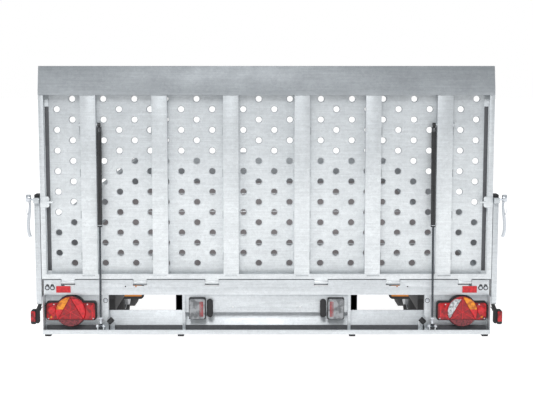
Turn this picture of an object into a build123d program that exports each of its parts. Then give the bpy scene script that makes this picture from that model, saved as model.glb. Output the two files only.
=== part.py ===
from build123d import *
import math
import os

os.makedirs("parts", exist_ok=True)

# Flatbed livestock and plant trailer, closed for the road: a full-width perforated loading ramp
# on a rear hinge, lamps set into the rear frame, a plywood bed with low side walls, two
# rubber-torsion axles with small wheels under the bed, and a V drawbar with an overrun coupling.
# Millimetres. +Z up from the ground, +Y towards the drawbar, +X to the right seen from behind.

# ---- overall sizes ----
BED_LENGTH = 4500.0          # rear hinge beam to the front face of the headboard
RAMP_HALF = 1046.0           # half the width of the ramp
FLOOR_Z = 600.0              # load floor above the ground
RAMP_HEIGHT = 986.0          # bottom rail to the tip of the toe flap, ramp closed
WALL_HEIGHT = 220.0          # side walls and headboard above the floor
DRAWBAR_LENGTH = 800.0       # headboard to the nose plate

# ---- sheet and section thicknesses ----
PLATE = 4.0                  # folded beams
SHEET = 3.0                  # ramp sections and panels
PIN_CLEARANCE = 0.06         # radial, for every pin that turns in a hole

# ---- rear frame ----
SIDE_GAP = 3.0               # ramp to corner post
POST_WIDTH = 25.0
BEAM_HEIGHT = 70.0           # hinge beam, its top level with the floor
BEAM_DEPTH = 60.0
BEAM_INSET = 9.0             # hinge beam ends inside the ramp's width
LIP_REACH = 48.0             # lower beam behind the hinge beam's rear face
LIP_HEIGHT = 21.0
LOWER_Z = 353.0              # underside of the lower beam
WEB_TOP_Z = 447.0            # top of the lower beam's sloping web
WEB_FOOT_Y = 29.0            # the web's foot and head, ahead of the rear face
WEB_HEAD_Y = 51.0
LAMP_BAY = 271.0             # clear width between the end plate and the outer upright
INNER_UPRIGHT_X = 386.0
INNER_UPRIGHT_WIDTH = 14.0
REFLECTOR_DROP = 28.5         # hinge beam's top to the reflectors, which clear the open ramp
REFLECTOR_HEIGHT = 31.0
REFLECTOR_THICKNESS = 4.0
FRAME_FRONT_Y = 27.0         # front of the uprights, ahead of the rear face

# ---- ramp ----
RAMP_GAP = 4.0               # ramp's bottom rail above the floor
RAMP_REAR_Y = 3.0            # rear face of the ramp ahead of the beam's rear face
RAMP_DEPTH = 42.0            # depth of the ribs and stiles
STILE_FLANGE = 23.0
STILE_WIDTH = 41.0
BOTTOM_RAIL = 24.0
RIB_COUNT = 6
RIB_WIDTH = 71.0
EDGE_TO_RIB = 226.0          # ramp's edge to the centre of the outer rib
FLAP_HEIGHT = 132.0
FLAP_BEND = 24.0             # straight strip below the bend
FLAP_LEAN = 26.0             # how far the tip leans over the bed
HOLE_RADIUS = 14.0
COLUMN_PITCH = 71.8
ROW_PITCH = 95.9
FIRST_ROW = 68.0             # lowest hole of the low columns above the ramp's bottom

# ---- ramp hinge ----
HINGE_Y = 8.0                # axis ahead of the rear face, and below the floor
HINGE_DROP = 12.0
KNUCKLE_RADIUS = 8.0
HINGE_PIN_RADIUS = 5.0
TAB_WIDTH = 62.0
TAB_EDGE = 122.0             # ramp's edge to the centre of the outer tab
TAB_PITCH = 335.0
NOTCH_SIDE_GAP = 2.0
NOTCH_DEPTH = 28.0
NOTCH_FRONT = 22.0
EAR_THICKNESS = 8.0

# ---- gas struts ----
STRUT_GAP = 14.5             # strut's centre line to the side of the outer rib
STRUT_TOP_Z = 1322.0
STRUT_TOP_Y = 15.0
STRUT_FOOT_Z = 389.0
STRUT_FOOT_Y = -34.0
STRUT_RADIUS = 11.5
STRUT_BORE = 8.5
ROD_RADIUS = 5.0
CYLINDER_LENGTH = 460.0
EYE_RADIUS = 9.0
EYE_THICKNESS = 14.0
STRUT_PIN_RADIUS = 4.0
EAR_GAP = 11.0               # strut's centre line to the inner face of a bracket ear

# ---- bed ----
FLOOR_THICKNESS = 18.0
RAIL_WIDTH = 50.0
RAIL_HEIGHT = 120.0
CROSS_HEIGHT = 62.0
CROSS_WIDTH = 40.0
CROSS_COUNT = 9
WALL_THICKNESS = 30.0
MAIN_RAIL_X = 380.0          # inner face of a black longitudinal rail
MAIN_RAIL_WIDTH = 50.0
MAIN_RAIL_HEIGHT = 100.0
MAIN_RAIL_START = 95.0

# ---- wheels and axles ----
TYRE_RADIUS = 233.0
TYRE_WIDTH = 165.0
RIM_RADIUS = 127.0
RIM_WIDTH = 140.0
WHEEL_X = 930.0
REAR_WHEEL_Y = 1700.0        # rear wheel's centre ahead of the rear face
WHEEL_PITCH = 620.0
ARM_REACH = 140.0            # torsion tube ahead of the wheel's centre
ARM_RISE = 50.0              # torsion tube above the wheel's centre
AXLE_TUBE = 70.0
AXLE_WALL = 5.0
ARM_THICKNESS = 26.0
ARM_X = 806.0                # inner face of a swing arm
STUB_RADIUS = 17.5
DRUM_RADIUS = 98.0
DRUM_LENGTH = 88.0

# ---- drawbar and coupling ----
ARM_WIDTH = 60.0
ARM_HEIGHT = 80.0
DRAWBAR_Z = 420.0            # underside of the drawbar arms
DRAWBAR_OVERLAP = 600.0      # drawbar arms under the bed
NOSE_HALF = 45.0             # arm's centre line from the middle at the nose
NOSE_PLATE = 12.0
HOUSING_LENGTH = 240.0
DRAWTUBE_RADIUS = 25.0
GAITER_LENGTH = 100.0
HEAD_LENGTH = 160.0
BALL_RADIUS = 25.2

# ---- jockey wheel ----
JOCKEY_X = -186.0
JOCKEY_BACK = 150.0          # jockey tube behind the nose plate
JOCKEY_RADIUS = 24.0
JOCKEY_INNER = 20.0
JOCKEY_WHEEL_RADIUS = 100.0
JOCKEY_WHEEL_WIDTH = 56.0
JOCKEY_TRAIL = 30.0
JOCKEY_BOTTOM_Z = 300.0
JOCKEY_TOP_Z = 770.0

# ---- places worked out from the sizes ----
nose_length = NOSE_PLATE + HOUSING_LENGTH + GAITER_LENGTH + HEAD_LENGTH
overall_length = LIP_REACH + BEAM_DEPTH + BED_LENGTH + DRAWBAR_LENGTH + nose_length
rear_y = LIP_REACH - overall_length / 2
bed_y = rear_y + BEAM_DEPTH
front_y = bed_y + BED_LENGTH
nose_y = front_y + DRAWBAR_LENGTH
post_in = RAMP_HALF + SIDE_GAP
outer_x = post_in + POST_WIDTH
beam_half = RAMP_HALF - BEAM_INSET
beam_bottom = FLOOR_Z - BEAM_HEIGHT
ramp_z = FLOOR_Z + RAMP_GAP
ramp_top = ramp_z + RAMP_HEIGHT
ramp_y = rear_y + RAMP_REAR_Y
sheet_y = ramp_y + RAMP_DEPTH
flap_z = ramp_top - FLAP_HEIGHT
hinge_y = rear_y + HINGE_Y
hinge_z = FLOOR_Z - HINGE_DROP
outer_rib_x = RAMP_HALF - EDGE_TO_RIB
rib_pitch = 2 * outer_rib_x / (RIB_COUNT - 1)
strut_x = outer_rib_x - RIB_WIDTH / 2 - STRUT_GAP
tab_x = [RAMP_HALF - TAB_EDGE - step * TAB_PITCH for step in range(3)]
upright_x = beam_half - SHEET - LAMP_BAY
cross_top = FLOOR_Z - FLOOR_THICKNESS
cross_bottom = cross_top - CROSS_HEIGHT
main_rail_z = cross_bottom - MAIN_RAIL_HEIGHT
axle_z = TYRE_RADIUS + ARM_RISE
post_top = FLOOR_Z + 386
post_foot = FLOOR_Z - 119
post_depth = BEAM_DEPTH - 5
wall_top = FLOOR_Z + WALL_HEIGHT
wall_in = outer_x - WALL_THICKNESS


def block(x0, x1, y0, y1, z0, z1, mode=Mode.ADD):
    """A box between two corners, in the part that is open."""
    with Locations(((x0 + x1) / 2, (y0 + y1) / 2, (z0 + z1) / 2)):
        Box(x1 - x0, y1 - y0, z1 - z0, mode=mode)


def rod_x(x0, x1, y, z, radius, mode=Mode.ADD):
    """A round bar or a hole along X, in the part that is open."""
    with Locations(Location(((x0 + x1) / 2, y, z), (0, 90, 0))):
        Cylinder(radius, abs(x1 - x0), mode=mode)


def rod_y(x, y0, y1, z, radius, mode=Mode.ADD):
    """A round bar or a hole along Y, in the part that is open."""
    with Locations(Location((x, (y0 + y1) / 2, z), (90, 0, 0))):
        Cylinder(radius, abs(y1 - y0), mode=mode)


def rod_z(x, y, z0, z1, radius, mode=Mode.ADD):
    """A round bar or a hole along Z, in the part that is open."""
    with Locations((x, y, (z0 + z1) / 2)):
        Cylinder(radius, z1 - z0, mode=mode)


# ======================= bed and chassis =======================

# Side rails: C sections, open to the inside, whose backs are the trailer's flanks.
with BuildPart() as side_rails:
    block(outer_x - RAIL_WIDTH, outer_x, bed_y, front_y, FLOOR_Z - RAIL_HEIGHT, FLOOR_Z)
    block(outer_x - RAIL_WIDTH, outer_x - PLATE, bed_y, front_y,
          FLOOR_Z - RAIL_HEIGHT + PLATE, FLOOR_Z - PLATE, Mode.SUBTRACT)
    mirror(about=Plane.YZ)
side_rails.part.label = "side_rails"
export_step(side_rails.part, "parts/side_rails.step")

# Cross members: C sections under the floor, the front one closing the frame.
cross_half = outer_x - RAIL_WIDTH
cross_step = (BED_LENGTH - CROSS_WIDTH) / CROSS_COUNT
with BuildPart() as cross_members:
    for index in range(CROSS_COUNT):
        cross_y = bed_y + (index + 1) * cross_step
        block(-cross_half, cross_half, cross_y, cross_y + CROSS_WIDTH, cross_bottom, cross_top)
        block(-cross_half, cross_half, cross_y + PLATE, cross_y + CROSS_WIDTH,
              cross_bottom + PLATE, cross_top - PLATE, Mode.SUBTRACT)
cross_members.part.label = "cross_members"
export_step(cross_members.part, "parts/cross_members.step")

# Load floor: one phenolic-faced plywood deck between the side rails.
with BuildPart() as floor_panel:
    block(-cross_half, cross_half, bed_y, front_y - WALL_THICKNESS, cross_top, FLOOR_Z)
floor_panel.part.label = "floor_panel"
export_step(floor_panel.part, "parts/floor_panel.step")

# Side walls: hollow boards standing on the side rails.
with BuildPart() as side_walls:
    block(wall_in, outer_x, bed_y, front_y, FLOOR_Z, wall_top)
    block(wall_in + SHEET, outer_x - SHEET, bed_y, front_y,
          FLOOR_Z + SHEET, wall_top - SHEET, Mode.SUBTRACT)
    mirror(about=Plane.YZ)
side_walls.part.label = "side_walls"
export_step(side_walls.part, "parts/side_walls.step")

# Headboard: the same board across the front, its foot on the front cross member.
with BuildPart() as headboard:
    block(-cross_half, cross_half, front_y - WALL_THICKNESS, front_y, cross_top, FLOOR_Z)
    block(-wall_in, wall_in, front_y - WALL_THICKNESS, front_y, FLOOR_Z, wall_top)
    block(-wall_in, wall_in, front_y - WALL_THICKNESS + SHEET, front_y - SHEET,
          FLOOR_Z + SHEET, wall_top - SHEET, Mode.SUBTRACT)
headboard.part.label = "headboard"
export_step(headboard.part, "parts/headboard.step")

# Main rails: two black box sections under the cross members.
rail_end = front_y - DRAWBAR_OVERLAP
with BuildPart() as main_rails:
    block(MAIN_RAIL_X, MAIN_RAIL_X + MAIN_RAIL_WIDTH, rear_y + MAIN_RAIL_START, rail_end,
          main_rail_z, cross_bottom)
    block(MAIN_RAIL_X + PLATE, MAIN_RAIL_X + MAIN_RAIL_WIDTH - PLATE, rear_y + MAIN_RAIL_START,
          rail_end, main_rail_z + PLATE, cross_bottom - PLATE, Mode.SUBTRACT)
    mirror(about=Plane.YZ)
main_rails.part.label = "main_rails"
export_step(main_rails.part, "parts/main_rails.step")

# ======================= rear frame =======================

CORNER_HOLES_X = beam_half - 28   # middle of each pair of large holes at the beam's ends
CORNER_HOLE_HALF = 11.0
CORNER_HOLE_DROP = 27.0
CORNER_HOLE_RADIUS = 8.0
BEAM_HOLES_X = upright_x - 130.5  # middle of each pair of small holes
BEAM_HOLE_HALF = 24.5
BEAM_HOLE_DROP = 31.0
BEAM_HOLE_RADIUS = 3.5
POST_SETBACK = 2.0               # posts between the beams behind the hinge beam's face

# Hinge beam: a folded C section, open to the front, notched at its top rear edge for the
# ramp's hinge tabs, with a pair of welded ears beside each notch.
with BuildPart() as rear_hinge_beam:
    block(-beam_half, beam_half, rear_y, bed_y, beam_bottom, FLOOR_Z)
    block(-beam_half, beam_half, rear_y + PLATE, bed_y,
          beam_bottom + PLATE, FLOOR_Z - PLATE, Mode.SUBTRACT)
    for centre in tab_x:
        for side in (-1, 1):
            notch_x = side * centre
            notch_half = TAB_WIDTH / 2 + NOTCH_SIDE_GAP
            ear_half = notch_half + EAR_THICKNESS
            block(notch_x - ear_half, notch_x + ear_half, rear_y + PLATE, rear_y + NOTCH_FRONT,
                  FLOOR_Z - NOTCH_DEPTH, FLOOR_Z - PLATE)
            block(notch_x - notch_half, notch_x + notch_half, rear_y, rear_y + NOTCH_FRONT,
                  FLOOR_Z - NOTCH_DEPTH, FLOOR_Z, Mode.SUBTRACT)
            rod_x(notch_x - ear_half, notch_x + ear_half, hinge_y, hinge_z,
                  HINGE_PIN_RADIUS, Mode.SUBTRACT)
    for side in (-1, 1):
        for end in (-1, 1):
            rod_y(side * (CORNER_HOLES_X + end * CORNER_HOLE_HALF), rear_y, rear_y + PLATE,
                  FLOOR_Z - CORNER_HOLE_DROP, CORNER_HOLE_RADIUS, Mode.SUBTRACT)
            rod_y(side * (BEAM_HOLES_X + end * BEAM_HOLE_HALF), rear_y, rear_y + PLATE,
                  FLOOR_Z - BEAM_HOLE_DROP, BEAM_HOLE_RADIUS, Mode.SUBTRACT)
rear_hinge_beam.part.label = "rear_hinge_beam"
export_step(rear_hinge_beam.part, "parts/rear_hinge_beam.step")

# Lower rear beam: folded from one plate, a sloping web, a flat bottom and an upturned rear lip,
# with the welded ears that hold the gas struts' feet.
foot_y = rear_y + STRUT_FOOT_Y
ear_y = rear_y - LIP_REACH + PLATE
with BuildPart() as lower_rear_beam:
    with BuildSketch(Plane.YZ.offset(-beam_half + SHEET)):
        with BuildLine():
            Polyline((rear_y - LIP_REACH, LOWER_Z), (rear_y + WEB_FOOT_Y + PLATE, LOWER_Z),
                     (rear_y + WEB_HEAD_Y + PLATE, WEB_TOP_Z), (rear_y + WEB_HEAD_Y, WEB_TOP_Z),
                     (rear_y + WEB_FOOT_Y, LOWER_Z + PLATE),
                     (rear_y - LIP_REACH + PLATE, LOWER_Z + PLATE),
                     (rear_y - LIP_REACH + PLATE, LOWER_Z + LIP_HEIGHT),
                     (rear_y - LIP_REACH, LOWER_Z + LIP_HEIGHT), close=True)
        make_face()
    extrude(amount=2 * (beam_half - SHEET))
    for side in (-1, 1):
        for offset_x in (-EAR_GAP - PLATE, EAR_GAP):
            ear_x = side * strut_x + offset_x
            block(ear_x, ear_x + PLATE, ear_y, foot_y + EYE_RADIUS, LOWER_Z + PLATE, STRUT_FOOT_Z)
            rod_x(ear_x, ear_x + PLATE, foot_y, STRUT_FOOT_Z, EYE_RADIUS)
            rod_x(ear_x, ear_x + PLATE, foot_y, STRUT_FOOT_Z, STRUT_PIN_RADIUS, Mode.SUBTRACT)
lower_rear_beam.part.label = "lower_rear_beam"
export_step(lower_rear_beam.part, "parts/lower_rear_beam.step")

# Uprights between the two beams: end plates with a hole for the marker lamps' leads, square
# outer posts, slim inner posts, and the thin plates that carry the lamps.
LAMP_PLATE = 2.0
LEAD_HOLE_RADIUS = 5.0
lead_z = post_foot - 3
lead_y = rear_y + 11
lamp_back = rear_y + FRAME_FRONT_Y - 1
with BuildPart() as rear_uprights:
    block(beam_half - SHEET, beam_half, ear_y - PLATE, bed_y, LOWER_Z, beam_bottom)
    rod_x(beam_half - SHEET, beam_half, lead_y, lead_z, LEAD_HOLE_RADIUS,
          Mode.SUBTRACT)
    block(upright_x, beam_half - SHEET, lamp_back, lamp_back + LAMP_PLATE,
          LOWER_Z + LIP_HEIGHT - 1, beam_bottom)
    block(upright_x - POST_WIDTH, upright_x, rear_y + POST_SETBACK, rear_y + FRAME_FRONT_Y,
          LOWER_Z + PLATE, beam_bottom)
    block(INNER_UPRIGHT_X - INNER_UPRIGHT_WIDTH / 2, INNER_UPRIGHT_X + INNER_UPRIGHT_WIDTH / 2,
          rear_y + POST_SETBACK, rear_y + FRAME_FRONT_Y, LOWER_Z + PLATE, beam_bottom)
    mirror(about=Plane.YZ)
rear_uprights.part.label = "rear_uprights"
export_step(rear_uprights.part, "parts/rear_uprights.step")

# Centre panel behind the number plate, with its two fixing holes.
PANEL_SETBACK = 10.0
PLATE_HOLE_X = 157.0
PLATE_HOLE_Z = LOWER_Z + 117
PLATE_HOLE_RADIUS = 3.0
panel_half = INNER_UPRIGHT_X - INNER_UPRIGHT_WIDTH / 2
panel_bottom = WEB_TOP_Z - 2
panel_y = rear_y + PANEL_SETBACK
with BuildPart() as centre_panel:
    block(-panel_half, panel_half, panel_y, panel_y + SHEET, panel_bottom, beam_bottom)
    for side in (-1, 1):
        rod_y(side * PLATE_HOLE_X, panel_y, panel_y + SHEET, PLATE_HOLE_Z, PLATE_HOLE_RADIUS,
              Mode.SUBTRACT)
centre_panel.part.label = "centre_panel"
export_step(centre_panel.part, "parts/centre_panel.step")

POST_ROUND = 20.0
CAP_HEIGHT = 14.0
CAP_ROUND = 4.0
CAP_OVERHANG = 1.0

# Corner posts outside the ramp, rounded at their feet, with rubber caps.
with BuildPart() as corner_posts:
    with BuildSketch(Plane.YZ.offset(post_in)):
        with Locations((bed_y - post_depth / 2, (post_top + post_foot) / 2)):
            Rectangle(post_depth, post_top - post_foot)
        fillet(vertices().group_by(Axis.Y)[0], POST_ROUND)
    extrude(amount=POST_WIDTH)
    block(post_in + SHEET, outer_x - SHEET, bed_y - post_depth + SHEET, bed_y - SHEET,
          FLOOR_Z, post_top, Mode.SUBTRACT)
    mirror(about=Plane.YZ)
corner_posts.part.label = "corner_posts"
export_step(corner_posts.part, "parts/corner_posts.step")

with BuildPart() as post_caps:
    block(post_in - CAP_OVERHANG, outer_x, bed_y - post_depth - CAP_OVERHANG, bed_y,
          post_top, post_top + CAP_HEIGHT)
    fillet(edges().filter_by(Axis.Z), CAP_ROUND)
    fillet(edges().group_by(Axis.Z)[-1], CAP_ROUND)
    mirror(about=Plane.YZ)
post_caps.part.label = "post_caps"
export_step(post_caps.part, "parts/post_caps.step")

# ======================= lamps =======================

LAMP_OFFSET = 13.0               # lamp outwards from the middle of its bay
LAMP_RISE = 101.0                # lamp's centre above the lower beam's underside
LAMP_HALF = 118.0
LAMP_HALF_HEIGHT = 45.0
LAMP_DEPTH = 28.0
LAMP_ROUND = 14.0
DISC_RADIUS = 74.0
LENS_INSET = 4.0
LENS_DEPTH = 12.0
DISC_DEPTH = 22.0

# Rear lamps: a housing with a round middle, and its lens, flat at the ends and deep in the middle.
lamp_x = (upright_x + beam_half - SHEET) / 2 + LAMP_OFFSET
lamp_z = LOWER_Z + LAMP_RISE
lens_y = lamp_back - LAMP_DEPTH
with BuildPart() as lamp_housings:
    block(lamp_x - LAMP_HALF, lamp_x + LAMP_HALF, lens_y, lamp_back,
          lamp_z - LAMP_HALF_HEIGHT, lamp_z + LAMP_HALF_HEIGHT)
    fillet(edges().filter_by(Axis.Y), LAMP_ROUND)
    rod_y(lamp_x, lens_y, lamp_back, lamp_z, DISC_RADIUS)
    mirror(about=Plane.YZ)
lamp_housings.part.label = "lamp_housings"
export_step(lamp_housings.part, "parts/lamp_housings.step")

with BuildPart() as lamp_lenses:
    block(lamp_x - LAMP_HALF + LENS_INSET, lamp_x + LAMP_HALF - LENS_INSET,
          lens_y - LENS_DEPTH, lens_y,
          lamp_z - LAMP_HALF_HEIGHT + LENS_INSET, lamp_z + LAMP_HALF_HEIGHT - LENS_INSET)
    fillet(edges().filter_by(Axis.Y), LAMP_ROUND - LENS_INSET / 2)
    rod_y(lamp_x, lens_y - DISC_DEPTH, lens_y, lamp_z, DISC_RADIUS - LENS_INSET / 2)
    mirror(about=Plane.YZ)
lamp_lenses.part.label = "lamp_lenses"
export_step(lamp_lenses.part, "parts/lamp_lenses.step")

REVERSING_HALF = 39.0
REVERSING_HALF_HEIGHT = 51.0
REVERSING_DEPTH = 26.0
REVERSING_ROUND = 6.0
REVERSING_TAB = 30.0
BUFFER_LENGTH = 86.0
BUFFER_WIDTH = 28.0
BUFFER_DEPTH = 18.0
FOOT_HALF = 15.0
FOOT_LENGTH = 40.0
FOOT_HEIGHT = 12.0

# Reversing lamps on the centre panel, each with a tab behind the panel's lower edge.
reversing_x = INNER_UPRIGHT_X - 63
reversing_z = LOWER_Z + 113
with BuildPart() as reversing_lamps:
    block(reversing_x - REVERSING_HALF, reversing_x + REVERSING_HALF, panel_y - REVERSING_DEPTH,
          panel_y, reversing_z - REVERSING_HALF_HEIGHT, reversing_z + REVERSING_HALF_HEIGHT)
    fillet(edges().filter_by(Axis.Y), REVERSING_ROUND)
    block(reversing_x - REVERSING_HALF, reversing_x + REVERSING_HALF, panel_y, panel_y + SHEET,
          panel_bottom - REVERSING_TAB, panel_bottom)
    mirror(about=Plane.YZ)
reversing_lamps.part.label = "reversing_lamps"
export_step(reversing_lamps.part, "parts/reversing_lamps.step")

# Rubber buffers: feet under the lower beam, and an oval one beside each reversing lamp.
buffer_x = INNER_UPRIGHT_X - 122
with BuildPart() as rubber_buffers:
    for foot_x in (beam_half - 22, INNER_UPRIGHT_X + 12):
        block(foot_x - FOOT_HALF, foot_x + FOOT_HALF, rear_y - FOOT_LENGTH, rear_y,
              LOWER_Z - FOOT_HEIGHT, LOWER_Z)
    fillet(edges().filter_by(Axis.Z), 4)
    with BuildSketch(Plane.XZ.offset(-panel_y)):
        with Locations((buffer_x, reversing_z + 1)):
            SlotOverall(BUFFER_LENGTH, BUFFER_WIDTH, rotation=90)
    extrude(amount=BUFFER_DEPTH)
    mirror(about=Plane.YZ)
rubber_buffers.part.label = "rubber_buffers"
export_step(rubber_buffers.part, "parts/rubber_buffers.step")

REFLECTOR_HALF = 33.5

# Reflectors stuck on the hinge beam.
reflector_x = beam_half - 91
with BuildPart() as reflectors:
    block(reflector_x - REFLECTOR_HALF, reflector_x + REFLECTOR_HALF, rear_y - REFLECTOR_THICKNESS, rear_y,
          FLOOR_Z - REFLECTOR_DROP - REFLECTOR_HEIGHT, FLOOR_Z - REFLECTOR_DROP)
    fillet(faces().sort_by(Axis.Y)[0].edges(), 1.5)
    mirror(about=Plane.YZ)
reflectors.part.label = "reflectors"
export_step(reflectors.part, "parts/reflectors.step")

MARKER_ARM_HALF = 12.0           # half the depth of the rubber arm
MARKER_HALF = 20.0               # half the depth of the lamp
MARKER_TOP = 28.0                # lamp's top and bottom below the post's foot
MARKER_BOTTOM = 94.0
MARKER_REACH = 30.0              # lamp's outer face beyond the post
MARKER_STEP = 8.0                # arm's outer face beyond the post

# Outline marker lamps on rubber arms below the corner posts.
marker_y = bed_y - post_depth / 2
arm_out = outer_x + MARKER_STEP
arm_bottom = post_foot - MARKER_BOTTOM + 2
with BuildPart() as marker_lamps:
    with BuildSketch(Plane.XZ.offset(-marker_y - MARKER_ARM_HALF)):
        with BuildLine():
            Polyline((post_in + 4, post_foot), (post_in + 20, post_foot),
                     (arm_out, post_foot - MARKER_TOP - 2), (arm_out, arm_bottom),
                     (outer_x - 9, arm_bottom), (outer_x - 9, post_foot - MARKER_TOP - 6),
                     close=True)
        make_face()
        fillet(vertices().group_by(Axis.Y)[0], MARKER_STEP)
    extrude(amount=2 * MARKER_ARM_HALF)
    block(arm_out, outer_x + MARKER_REACH, marker_y - MARKER_HALF, marker_y + MARKER_HALF,
          post_foot - MARKER_BOTTOM, post_foot - MARKER_TOP)
    fillet(edges().filter_by(Axis.Y).group_by(Axis.X)[-1], MARKER_STEP)
    mirror(about=Plane.YZ)
marker_lamps.part.label = "marker_lamps"
export_step(marker_lamps.part, "parts/marker_lamps.step")

# Marker leads: a short cable from each marker lamp's arm through the end plate to the rear lamp.
LEAD_RADIUS = 2.0
lead_points = [(outer_x - 14, marker_y - 11, post_foot - 30),
               (outer_x - 23, lead_y + 1, post_foot - 10),
               (lamp_x + LAMP_HALF - 1, lead_y, lead_z + 1)]
run_one = Vector(*lead_points[1]) - Vector(*lead_points[0])
run_two = Vector(*lead_points[2]) - Vector(*lead_points[1])
lead_turn = math.radians(run_one.get_angle(run_two))
LEAD_SHARE = 0.45                # of the shorter run, taken by the bend
lead_bend = LEAD_SHARE * min(run_one.length, run_two.length) / math.tan(lead_turn / 2)
print("marker lead bend radius", round(lead_bend, 1))
with BuildPart() as marker_leads:
    with BuildLine():
        FilletPolyline(*lead_points, radius=lead_bend)
    with BuildSketch(Plane(origin=lead_points[0], z_dir=run_one)):
        Circle(LEAD_RADIUS)
    sweep()
    mirror(about=Plane.YZ)
marker_leads.part.label = "marker_leads"
export_step(marker_leads.part, "parts/marker_leads.step")

# ======================= loading ramp =======================

# Perforated sheet, the walking face, with staggered rows of foothold holes.
sheet_top = flap_z + 16
half_columns = math.floor((RAMP_HALF - STILE_WIDTH - HOLE_RADIUS) / COLUMN_PITCH + 0.5)
hole_points = []
for column in range(2 * half_columns):
    hole_x = (column - half_columns + 0.5) * COLUMN_PITCH
    first_z = ramp_z + FIRST_ROW + (ROW_PITCH / 2 if column % 2 == 0 else 0)
    rows = math.floor((flap_z - 19 - first_z) / ROW_PITCH) + 1
    hole_points += [(hole_x, first_z + row * ROW_PITCH) for row in range(rows)]
with BuildPart() as ramp_sheet:
    with BuildSketch(Plane.XZ.offset(-sheet_y)):
        with Locations((0, (ramp_z + sheet_top) / 2)):
            Rectangle(2 * RAMP_HALF, sheet_top - ramp_z)
        with Locations(*hole_points):
            Circle(HOLE_RADIUS, mode=Mode.SUBTRACT)
    extrude(amount=-SHEET)
ramp_sheet.part.label = "ramp_sheet"
export_step(ramp_sheet.part, "parts/ramp_sheet.step")

# Ramp frame: stiles with a rear and a front flange, a bottom rail, and the hinge tabs whose
# knuckles turn on the pins in the beam's notches.
rail_top = ramp_z + BOTTOM_RAIL
with BuildPart() as ramp_frame:
    for side in (-1, 1):
        edge = side * RAMP_HALF
        inner = side * (RAMP_HALF - STILE_WIDTH)
        flange = side * (RAMP_HALF - STILE_FLANGE)
        web = side * (RAMP_HALF - SHEET)
        block(min(edge, web), max(edge, web), ramp_y, sheet_y, ramp_z, sheet_top)
        block(min(edge, flange), max(edge, flange), ramp_y, ramp_y + SHEET, ramp_z, sheet_top)
        block(min(edge, inner), max(edge, inner), sheet_y - SHEET, sheet_y, ramp_z, sheet_top)
    block(-RAMP_HALF, RAMP_HALF, ramp_y, ramp_y + SHEET, ramp_z, rail_top)
    block(-RAMP_HALF, RAMP_HALF, ramp_y, sheet_y, ramp_z, ramp_z + SHEET)
    for centre in tab_x:
        for side in (-1, 1):
            tab_left = side * centre - TAB_WIDTH / 2
            block(tab_left, tab_left + TAB_WIDTH, ramp_y, ramp_y + 10, hinge_z, ramp_z)
            rod_x(tab_left, tab_left + TAB_WIDTH, hinge_y, hinge_z, KNUCKLE_RADIUS)
            rod_x(tab_left, tab_left + TAB_WIDTH, hinge_y, hinge_z,
                  HINGE_PIN_RADIUS + PIN_CLEARANCE, Mode.SUBTRACT)
ramp_frame.part.label = "ramp_frame"
export_step(ramp_frame.part, "parts/ramp_frame.step")

# Ribs: C sections open towards the sheet. A bolt through each of the outer two, its head
# outside, is the strut's upper stud: it ends just short of the strut's eye.
stud_y = rear_y + STRUT_TOP_Y
stud_out = outer_rib_x + RIB_WIDTH / 2
stud_end = strut_x + EYE_THICKNESS / 2 + 1
with BuildPart() as ramp_ribs:
    for index in range(RIB_COUNT):
        rib_x = -outer_rib_x + index * rib_pitch
        block(rib_x - RIB_WIDTH / 2, rib_x + RIB_WIDTH / 2, ramp_y, sheet_y, rail_top, sheet_top)
        block(rib_x - RIB_WIDTH / 2 + SHEET, rib_x + RIB_WIDTH / 2 - SHEET, ramp_y + SHEET,
              sheet_y, rail_top, sheet_top, Mode.SUBTRACT)
    for side in (-1, 1):
        rod_x(side * stud_end, side * stud_out, stud_y, STRUT_TOP_Z, STRUT_PIN_RADIUS + 1)
        rod_x(side * stud_out, side * (stud_out + 7), stud_y, STRUT_TOP_Z, 9)
ramp_ribs.part.label = "ramp_ribs"
export_step(ramp_ribs.part, "parts/ramp_ribs.step")

# Toe flap: a bent plate over the rib tops, leaning over the bed when the ramp is up, so that
# it lies flatter on the ground when the ramp is down.
flap_y = ramp_y - PLATE
with BuildPart() as toe_flap:
    with BuildSketch(Plane.YZ.offset(-RAMP_HALF)):
        with BuildLine():
            Polyline((flap_y, flap_z), (ramp_y, flap_z), (ramp_y, flap_z + FLAP_BEND),
                     (ramp_y + FLAP_LEAN, ramp_top), (flap_y + FLAP_LEAN, ramp_top),
                     (flap_y, flap_z + FLAP_BEND), close=True)
        make_face()
    extrude(amount=2 * RAMP_HALF)
toe_flap.part.label = "toe_flap"
export_step(toe_flap.part, "parts/toe_flap.step")

LATCH_RISE = 378.0               # latch axis above the floor
KEEPER_WIDTH = 43.0
KEEPER_ABOVE = 13.0
KEEPER_BELOW = 38.0
KEEPER_ROUND = 10.0
HOOK_RADIUS = 5.0
HOOK_LENGTH = 24.0

# Latch keepers: strap plates welded on the ramp's stiles, with a rolled inner end.
latch_z = FLOOR_Z + LATCH_RISE
keeper_y = ramp_y - PLATE
with BuildPart() as latch_keepers:
    block(RAMP_HALF - KEEPER_WIDTH, RAMP_HALF, keeper_y, ramp_y,
          latch_z - KEEPER_BELOW, latch_z + KEEPER_ABOVE)
    fillet(edges().filter_by(Axis.Y).group_by(Axis.X)[0], KEEPER_ROUND)
    rod_x(RAMP_HALF - KEEPER_WIDTH - 17, RAMP_HALF - KEEPER_WIDTH - 17 + HOOK_LENGTH,
          keeper_y - HOOK_RADIUS, latch_z - KEEPER_ABOVE, HOOK_RADIUS)
    mirror(about=Plane.YZ)
latch_keepers.part.label = "latch_keepers"
export_step(latch_keepers.part, "parts/latch_keepers.step")

# ======================= ramp latches =======================

LATCH_ROD_RADIUS = 4.0
LATCH_HEAD_RADIUS = 17.0
LATCH_HEAD_LENGTH = 18.0
LATCH_HEAD_RISE = 6.0            # eccentricity of the head
LATCH_REACH = 16.0               # start of the head outside the post
LEVER_LENGTH = 176.0
LEVER_THICKNESS = 10.0

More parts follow.
